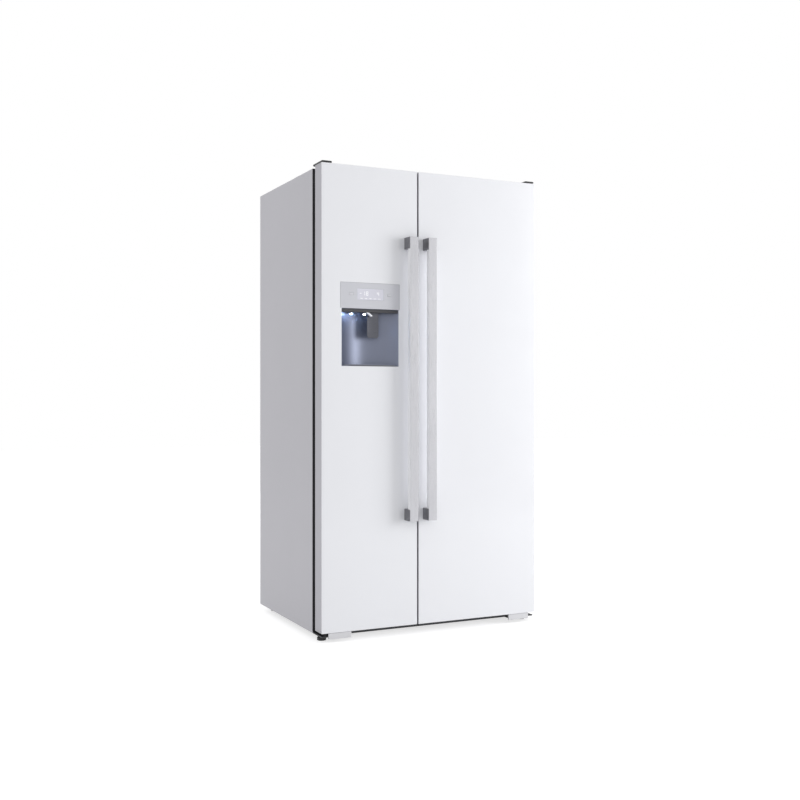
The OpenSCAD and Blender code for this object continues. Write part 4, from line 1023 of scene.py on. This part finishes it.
    def digit(self, digit, left, base, wide, tall, stroke, front):
        """The strokes of one digit: a at the top, then clockwise to f, and g in the middle."""
        half = 0.5 * tall
        right = wide - stroke
        places = {"a": (0, tall - stroke, wide, stroke), "b": (right, half, stroke, half),
                  "c": (right, 0, stroke, half), "d": (0, 0, wide, stroke),
                  "e": (0, 0, stroke, half), "f": (0, half, stroke, half),
                  "g": (0, half - stroke / 2, wide, stroke)}
        made = []
        for stroke_name in self.DIGITS[digit]:
            x, z, w, h = places[stroke_name]
            gap = 0.25 * stroke
            made.append(plate((left + x + gap, front - 0.12 * MM, base + z + gap),
                              (left + x + w - gap * (w > stroke), front + 0.3 * MM,
                               base + z + h - gap * (h > stroke)), 0.3 * stroke, 0.05 * MM))
        return made


class REFRIGERATOR_OT_covers(Step, bpy.types.Operator):
    """Mould the hinge covers on top and the covers of the feet and hinges below"""

    bl_idname = "refrigerator.covers"
    bl_label = "Hinge Covers"

    SPLIT_HEIGHT = 1.0

    def build(self):
        lids, strips = [], []
        for lo, hi in solids("hinge_covers"):
            if lo[2] > self.SPLIT_HEIGHT:
                lids.append(plate(lo, hi, 6 * MM, 2.4 * MM, axis=2))
            else:
                strips.append(plate(lo, hi, 2.5 * MM, 1 * MM))
        slotted("hinge_lids", lids, "cabinet", "black_plastic", ["hinge_covers"])
        slotted("toe_strips", strips, "cabinet", "frame_steel")


class REFRIGERATOR_OT_feet(Step, bpy.types.Operator):
    """Turn the levelling feet with their threads and the grooved rear rollers"""

    bl_idname = "refrigerator.feet"
    bl_label = "Feet and Rollers"

    THREAD_START, THREAD_RADIUS, THREAD_DEPTH = 17 * MM, 4.65 * MM, 0.3 * MM
    THREAD_PITCH = 1.25 * MM
    NUT = MM * np.array([(11, 12.4), (11, 16.4), (10, 17)])
    BORE_RADIUS, GROOVE_DEPTH, GROOVE_WAVES, WHEEL_STEPS = 5.1 * MM, 0.5 * MM, 5, 48

    def build(self):
        for name in ("left_foot", "right_foot"):
            lo, hi = corners(name)
            centre = 0.5 * (lo + hi)
            pad = 0.5 * (hi[0] - lo[0])
            level = np.linspace(self.THREAD_START, hi[2], 60)
            wave = np.cos(level * 2 * pi / self.THREAD_PITCH)
            thread = np.column_stack([self.THREAD_RADIUS + self.THREAD_DEPTH * wave, level])
            profile = np.vstack([[(0, 0), (pad - 2.5 * MM, 0)],
                                 arc(pad - 2 * MM, 2 * MM, 2 * MM, 270, 360, 4),
                                 arc(pad - 3 * MM, 9 * MM, 3 * MM, 0, 90, 4),
                                 self.NUT, thread, [(0, hi[2])]])
            turned = revolve(profile, (centre[0], centre[1], lo[2]), steps=self.WHEEL_STEPS)
            slotted(name + "_turned", [turned], name, "black_plastic", [name])
        for name in ("left_roller", "right_roller"):
            lo, hi = corners(name)
            centre = 0.5 * (lo + hi)
            r, wide, bore = 0.5 * (hi[2] - lo[2]), hi[0] - lo[0], self.BORE_RADIUS
            across = np.linspace(0.12, 0.88, 41)
            wave = np.cos(across * 2 * pi * self.GROOVE_WAVES)
            tread = r - self.GROOVE_DEPTH * (0.5 - 0.5 * wave)
            side = [(bore, 0), (bore + 3 * MM, 0), (bore + 4 * MM, 3 * MM),
                    (r - 5 * MM, 3 * MM), (r - 4 * MM, 0), (r - 1.2 * MM, 0)]
            far_side = [(out, wide - level) for out, level in side[::-1]]
            profile = np.vstack([side, np.column_stack([tread, across * wide]), far_side])
            wheel = revolve(profile, (lo[0], centre[1], centre[2]), (1, 0, 0), self.WHEEL_STEPS)
            grid = wheel[0].reshape(len(profile), self.WHEEL_STEPS, 3)
            slotted(name + "_wheel", [surface(grid, around=True, along=True)], name,
                    "roller_plastic", [name])


class REFRIGERATOR_OT_shelves(Step, bpy.types.Operator):
    """Extrude the nosed front trims of the shelves"""

    bl_idname = "refrigerator.shelves"
    bl_label = "Shelf Trims"

    def build(self):
        parts = []
        for lo, hi in solids("shelf_trims"):
            nose = 0.5 * (hi[1] - lo[1])
            outline = np.vstack([arc(lo[1] + nose, hi[2] - nose, nose, 180, 100),
                                 [(hi[1], hi[2]), (hi[1], lo[2] + 2 * MM)],
                                 arc(hi[1] - 2 * MM, lo[2] + 2 * MM, 2 * MM, 0, -90, 3),
                                 arc(lo[1] + 3 * MM, lo[2] + 3 * MM, 3 * MM, -90, -180, 4)])
            parts.append(prism(outline, 0, lo[0], hi[0]))
        slotted("shelf_noses", parts, "cabinet", "trim_plastic", ["shelf_trims"], ease=0.4 * MM)


class REFRIGERATOR_OT_tubs(Step, bpy.types.Operator):
    """Mould the clear drawers, door bins, dairy compartment and ice bucket"""

    bl_idname = "refrigerator.tubs"
    bl_label = "Bins and Drawers"

    GRIP_INSET, GRIP_DROP, GRIP_THICK = 35 * MM, 17 * MM, 7 * MM
    BIN_LEAST, BIN_TALLEST, DAIRY_WALL, LID_GRIP_INSET = 60 * MM, 100 * MM, 3 * MM, 143 * MM

    def build(self):
        sizes = settings("tubs")
        for name in [stem + level for stem in DRAWERS.values() for level in ("_upper", "_lower")]:
            lo, hi = corners(name)
            front = lo[1] + 6 * MM
            grip_z = hi[2] - self.GRIP_DROP
            grip = plate((lo[0] + self.GRIP_INSET, lo[1], grip_z),
                         (hi[0] - self.GRIP_INSET, front + 6 * MM, grip_z + self.GRIP_THICK),
                         3 * MM, 2 * MM, axis=2)
            slotted(name + "_tub", [tub((lo[0], front, lo[2]), hi, sizes), grip], name,
                    "clear_plastic", [name])
            strip = plate((lo[0] + 20 * MM, front + 0.6 * MM, hi[2] - 34 * MM),
                          (hi[0] - 20 * MM, front + sizes.lip + 0.2 * MM, hi[2] - 19 * MM),
                          3 * MM, 0.8 * MM)
            slotted(name + "_strip", [strip], name, "trim_plastic")
        for name in DOORS:
            tubs, strips, walls = [], [], []
            for lo, hi in solids(name + "_bins"):
                wide, deep, tall = hi - lo
                if min(wide, deep) > self.BIN_LEAST and tall < self.BIN_TALLEST:
                    tubs.append(tub(lo, hi, sizes))
                    strips.append(plate((lo[0] + 16 * MM, hi[1] - sizes.lip, hi[2] - 30 * MM),
                                        (hi[0] - 16 * MM, hi[1] - 0.8 * MM, hi[2] - 12 * MM),
                                        3 * MM, 0.8 * MM))
                else:
                    walls += self.dairy(lo, hi)
            slotted(name + "_door_bins", tubs + walls, name + "_door", "clear_plastic",
                    [name + "_bins"])
            slotted(name + "_bin_strips", strips, name + "_door", "trim_plastic")
        self.lid()
        lo, hi = corners("ice_bucket")
        slotted("ice_bucket_tub", [tub(lo, hi, sizes)], "cabinet", "clear_plastic",
                ["ice_bucket"])

    def dairy(self, lo, hi):
        """The shelf and the two walls of the dairy compartment."""
        t = self.DAIRY_WALL
        return [plate(lo, (hi[0], hi[1], lo[2] + t), 6 * MM, 1 * MM, axis=2),
                plate(lo, (lo[0] + t, hi[1], hi[2]), 8 * MM, 1 * MM, axis=0),
                plate((hi[0] - t, lo[1], lo[2]), hi, 8 * MM, 1 * MM, axis=0)]

    def lid(self):
        """The dairy lid: a pane with rounded corners on its pin, with a finger grip below."""
        lo, hi = corners("dairy_lid")
        pin_r = 3 * MM
        pin_z, pin_y = hi[2] - pin_r, lo[1] + pin_r
        pane = plate((lo[0] + 3 * MM, pin_y - 2 * MM, lo[2]),
                     (hi[0] - 3 * MM, pin_y + 2 * MM, pin_z), 6 * MM, 1 * MM)
        pin = rod((lo[0], pin_y, pin_z), pin_r, hi[0])
        grip = plate((lo[0] + self.LID_GRIP_INSET, pin_y + 1 * MM, lo[2] + 7 * MM),
                     (hi[0] - self.LID_GRIP_INSET, hi[1], lo[2] + 11 * MM), 2 * MM, 1.2 * MM,
                     axis=2)
        slotted("dairy_lid_pane", [pane, pin, grip], "dairy_lid", "clear_plastic", ["dairy_lid"])


class REFRIGERATOR_OT_machinery(Step, bpy.types.Operator):
    """Make the compressor, the two fans and the ice auger"""

    bl_idname = "refrigerator.machinery"
    bl_label = "Machinery"

    SHELL_RADIUS, SHELL_LIFT, SHELL_SHARE, FLANGE_SHARE = 74 * MM, 24 * MM, 0.47, 0.52
    RUBBER = MM * np.array([(0, 0), (11, 0), (12, 3), (9, 8), (11, 13), (9, 18), (10, 23),
                            (0, 23)])
    BLADES, BLADE_HALF = 5, 0.6 * MM
    WIRE_RADIUS, HELIX_MARGIN, HELIX_TURNS = 4 * MM, 19 * MM, 4

    def build(self):
        self.compressor()
        self.fan("evaporator_fan", 15 * MM)
        self.fan("condenser_fan", 20 * MM)
        self.auger()

    def compressor(self):
        """A shell turned from a profile of two domes and a straight wall with a welded flange
        between its halves, on a base plate with four rubber feet, with its stub tubes."""
        lo, hi = corners("compressor")
        centre = 0.5 * (lo + hi)
        r = self.SHELL_RADIUS
        base = lo[2] + self.SHELL_LIFT
        tall = hi[2] - base
        x, y = centre[0], lo[1] + (hi[1] - lo[1]) * self.SHELL_SHARE
        flange = self.FLANGE_SHARE * tall
        profile = np.vstack([
            [(0, 0)], arc(r - 34 * MM, 34 * MM, 34 * MM, 270, 360, 8),
            [(r, flange - 3 * MM), (r + 3.5 * MM, flange - 2.5 * MM), (r + 3.5 * MM, flange),
             (r + 1 * MM, flange + 0.5 * MM), (r - 1.5 * MM, flange + 3 * MM)],
            arc(r - 40 * MM, tall - 38 * MM, 38 * MM, 0, 90, 8), [(0, tall)]])
        shell = revolve(profile, (x, y, base), steps=72)
        foot = plate((x - 92 * MM, y - 56 * MM, base - 2 * MM),
                     (x + 92 * MM, y + 56 * MM, base + MM), 14 * MM, 0.8 * MM, axis=2)
        cover = plate((x - 24 * MM, y + r - 12 * MM, base + 66 * MM),
                      (x + 24 * MM, hi[1], base + 120 * MM), 6 * MM, 2 * MM)
        feet = [revolve(self.RUBBER, (x + across * MM, y + along * MM, lo[2]), steps=24)
                for across in (-80, 80) for along in (-45, 45)]
        turn = np.linspace(0, pi / 2, 10)
        out, up = 26 * MM * np.sin(turn), 30 * MM * (1 - np.cos(turn))
        stubs = [np.column_stack([x - r + 6 * MM - out, np.full_like(turn, y + side),
                                  base + 60 * MM + up])
                 for side in (-22 * MM, 20 * MM)]
        slotted("compressor_shell", [shell, foot, cover, *feet], "cabinet", "compressor_paint",
                ["compressor"], sharp=50)
        slotted("compressor_stubs", [tube(path, 4 * MM) for path in stubs], "cabinet",
                "bright_steel")

    def fan(self, name, hub):
        """Five blades on a hub. A blade's points lie on circles about the shaft; its angle grows
        and its pitch falls with the distance from the shaft, and it is cambered."""
        lo, hi = corners(name)
        centre = 0.5 * (lo + hi)
        radius = 0.5 * max(hi[0] - lo[0], hi[2] - lo[2]) - 0.5 * MM
        depth = hi[1] - lo[1]
        out = np.linspace(0, 1, 14)[None, :]
        chord = np.linspace(-1, 1, 12)[:, None]
        reach = hub * 0.9 + out * (radius - hub * 0.9)
        parts = []
        for blade in range(self.BLADES):
            sweep = blade * 2 * pi / self.BLADES + 0.35 * out + chord * (0.46 - 0.10 * out)
            rise = 0.40 * depth * chord * (1 - 0.35 * out) + 0.08 * depth * (1 - chord ** 2)
            mid = np.stack([centre[0] + reach * np.cos(sweep),
                            centre[1] + np.broadcast_to(rise, sweep.shape),
                            centre[2] + reach * np.sin(sweep)], -1)
            parts += slab(mid - (0, self.BLADE_HALF, 0), mid + (0, self.BLADE_HALF, 0))
        profile = [(0, 0), (0.8 * hub, 0), (hub, 0.15 * depth), (hub, depth), (0, depth)]
        parts.append(revolve(profile, (centre[0], lo[1], centre[2]), (0, 1, 0), 40))
        slotted(name + "_wheel", parts, name, "dark_plastic", [name])

    def auger(self):
        """A helix of four turns round a straight shaft, joined to it at both ends."""
        lo, hi = corners("ice_auger")
        centre = 0.5 * (lo + hi)
        wire, whole = self.WIRE_RADIUS, 2 * pi * self.HELIX_TURNS
        radius = 0.5 * (hi[0] - lo[0]) - wire
        start, end = lo[1] + self.HELIX_MARGIN, hi[1] - self.HELIX_MARGIN
        turn = np.linspace(0, whole, 260)
        helix = np.column_stack([centre[0] + radius * np.cos(turn),
                                 start + (end - start) * turn / whole,
                                 centre[2] - radius * np.sin(turn)])
        parts = [tube(helix, wire)]
        for y in (start, end):
            parts.append(tube([(centre[0], y, centre[2]), (centre[0] + 0.5 * radius, y, centre[2]),
                               (centre[0] + radius, y, centre[2])], 3.5 * MM))
        shaft, long = 5 * MM, hi[1] - lo[1]
        parts.append(revolve([(0, 0), (0.8 * shaft, 0), (shaft, MM), (shaft, long - MM),
                              (0.8 * shaft, long), (0, long)],
                             (centre[0], lo[1], centre[2]), (0, 1, 0), 24))
        slotted("auger_helix", parts, "ice_auger", "bright_steel", ["ice_auger"], sharp=60)


class REFRIGERATOR_OT_stage(Step, bpy.types.Operator):
    """Set the floor, the soft lamps, the white surroundings and the camera"""

    bl_idname = "refrigerator.stage"
    bl_label = "Stage"

    # name: place, point it faces, size, setting of its power
    LAMPS = {"Key lamp": ((3.4, -2.6, 1.4), (0, -0.3, 0.9), 2.4, "key_power"),
             "Side lamp": ((-4.4, 0.5, 1.9), (-0.45, 0.1, 0.9), 2.6, "side_power"),
             "Back lamp": ((1.0, 4.8, 3.2), (0, 0.3, 0.9), 3.0, "back_power")}
    FLOOR_REACH, FLOOR_COLOUR = 14.0, (0.62, 0.62, 0.63, 1)
    FLOOR_PLAIN, FLOOR_SEEN = 0.15, 0.68
    WHITE = (1, 1, 1, 1)

    def build(self):
        scene, stage = bpy.context.scene, settings("stage")
        self.world(scene, stage)
        self.floor()
        for name, (place, aim, size, power) in self.LAMPS.items():
            self.lamp(name, place, aim, size, getattr(stage, power))
        self.camera(scene, stage)
        scene.view_settings.view_transform = "Standard"

    def seen_white(self, tree, plain, white):
        """A strength that is white where the eye or a mirror sees it, and plain elsewhere."""
        path = add_node(tree, "ShaderNodeLightPath")
        either = add_node(tree, "ShaderNodeMath", {0: path.outputs["Is Camera Ray"],
                                                   1: path.outputs["Is Glossy Ray"]},
                          operation="MAXIMUM")
        seen = add_node(tree, "ShaderNodeMath", {0: either.outputs[0],
                                                 1: path.outputs["Is Transmission Ray"]},
                        operation="MAXIMUM")
        return add_node(tree, "ShaderNodeMapRange", {"Value": seen.outputs[0], "To Min": plain,
                                                     "To Max": white}).outputs[0]

    def world(self, scene, stage):
        world = bpy.data.worlds.new("Soft studio")
        scene.world = world
        world.use_nodes = True
        tree = world.node_tree
        light = tree.nodes["Background"]
        light.inputs["Color"].default_value = self.WHITE
        tree.links.new(self.seen_white(tree, stage.ambient, 1.0), light.inputs["Strength"])

    def floor(self):
        """A wide square under the object. Its own light brings the open floor to white, and its
        shaded part keeps the object's shadow."""
        reach = self.FLOOR_REACH
        mesh = bpy.data.meshes.new("Floor")
        mesh.from_pydata([(-reach, -reach, 0), (reach, -reach, 0), (reach, reach, 0),
                          (-reach, reach, 0)], [], [(0, 1, 2, 3)])
        floor = bpy.data.objects.new("Floor", mesh)
        bpy.context.collection.objects.link(floor)
        material = bpy.data.materials.new("Floor")
        material.use_nodes = True
        tree = material.node_tree
        shader = tree.nodes["Principled BSDF"]
        for socket, value in {"Base Color": self.FLOOR_COLOUR, "Roughness": 1.0,
                              "Specular IOR Level": 0.0, "Emission Color": self.WHITE}.items():
            shader.inputs[socket].default_value = value
        tree.links.new(self.seen_white(tree, self.FLOOR_PLAIN, self.FLOOR_SEEN),
                       shader.inputs["Emission Strength"])
        mesh.materials.append(material)

    def lamp(self, name, place, aim, size, power):
        light = bpy.data.lights.new(name, "AREA")
        light.shape = "SQUARE"
        light.size = size
        light.energy = power
        lamp = bpy.data.objects.new(name, light)
        lamp.location = place
        lamp.rotation_euler = (Vector(aim) - Vector(place)).to_track_quat("-Z", "Y").to_euler()
        bpy.context.collection.objects.link(lamp)

    def camera(self, scene, stage):
        lens = bpy.data.cameras.new("Camera")
        lens.lens = stage.lens
        lens.sensor_width = 36.0
        lens.shift_x, lens.shift_y = stage.shift_x, stage.shift_y
        camera = bpy.data.objects.new("Camera", lens)
        camera.location = stage.camera_place
        camera.rotation_euler = (pi / 2, 0, -stage.camera_turn)
        bpy.context.collection.objects.link(camera)
        scene.camera = camera


class REFRIGERATOR_PT_build(bpy.types.Panel):
    """The pieces of the refrigerator, in the order in which they are made"""

    bl_label = "Side by Side Refrigerator"
    bl_idname = "REFRIGERATOR_PT_build"
    bl_space_type = "VIEW_3D"
    bl_region_type = "UI"
    bl_category = "Refrigerator"

    def draw(self, context):
        for operator in OPERATORS:
            self.layout.operator(operator.bl_idname)
        for group in GROUPS:
            box = self.layout.box()
            box.label(text=group)
            values = settings(group)
            for name in values.bl_rna.properties.keys():
                if name not in ("rna_type", "name"):
                    box.prop(values, name)


GROUPS = {"cabinet": CabinetSizes, "doors": DoorSizes, "dispenser": DispenserSizes,
          "tubs": TubSizes, "colours": FinishColours, "stage": StageSettings}
OPERATORS = (REFRIGERATOR_OT_stage, REFRIGERATOR_OT_nodes, REFRIGERATOR_OT_cabinet,
             REFRIGERATOR_OT_liners, REFRIGERATOR_OT_fronts, REFRIGERATOR_OT_bodies,
             REFRIGERATOR_OT_inner_doors, REFRIGERATOR_OT_handles, REFRIGERATOR_OT_dispenser,
             REFRIGERATOR_OT_covers, REFRIGERATOR_OT_feet, REFRIGERATOR_OT_shelves,
             REFRIGERATOR_OT_tubs, REFRIGERATOR_OT_machinery)


def register():
    for group in GROUPS.values():
        bpy.utils.register_class(group)
    for name, group in GROUPS.items():
        setattr(bpy.types.Scene, "refrigerator_" + name, PointerProperty(type=group))
    for operator in OPERATORS:
        bpy.utils.register_class(operator)
    bpy.utils.register_class(REFRIGERATOR_PT_build)


def unregister():
    bpy.utils.unregister_class(REFRIGERATOR_PT_build)
    for operator in reversed(OPERATORS):
        bpy.utils.unregister_class(operator)
    for name in GROUPS:
        delattr(bpy.types.Scene, "refrigerator_" + name)
    for group in reversed(GROUPS.values()):
        bpy.utils.unregister_class(group)


def main():
    register()
    for operator in OPERATORS:
        getattr(bpy.ops.refrigerator, operator.bl_idname.split(".")[1])()


if __name__ == "__main__":
    main()
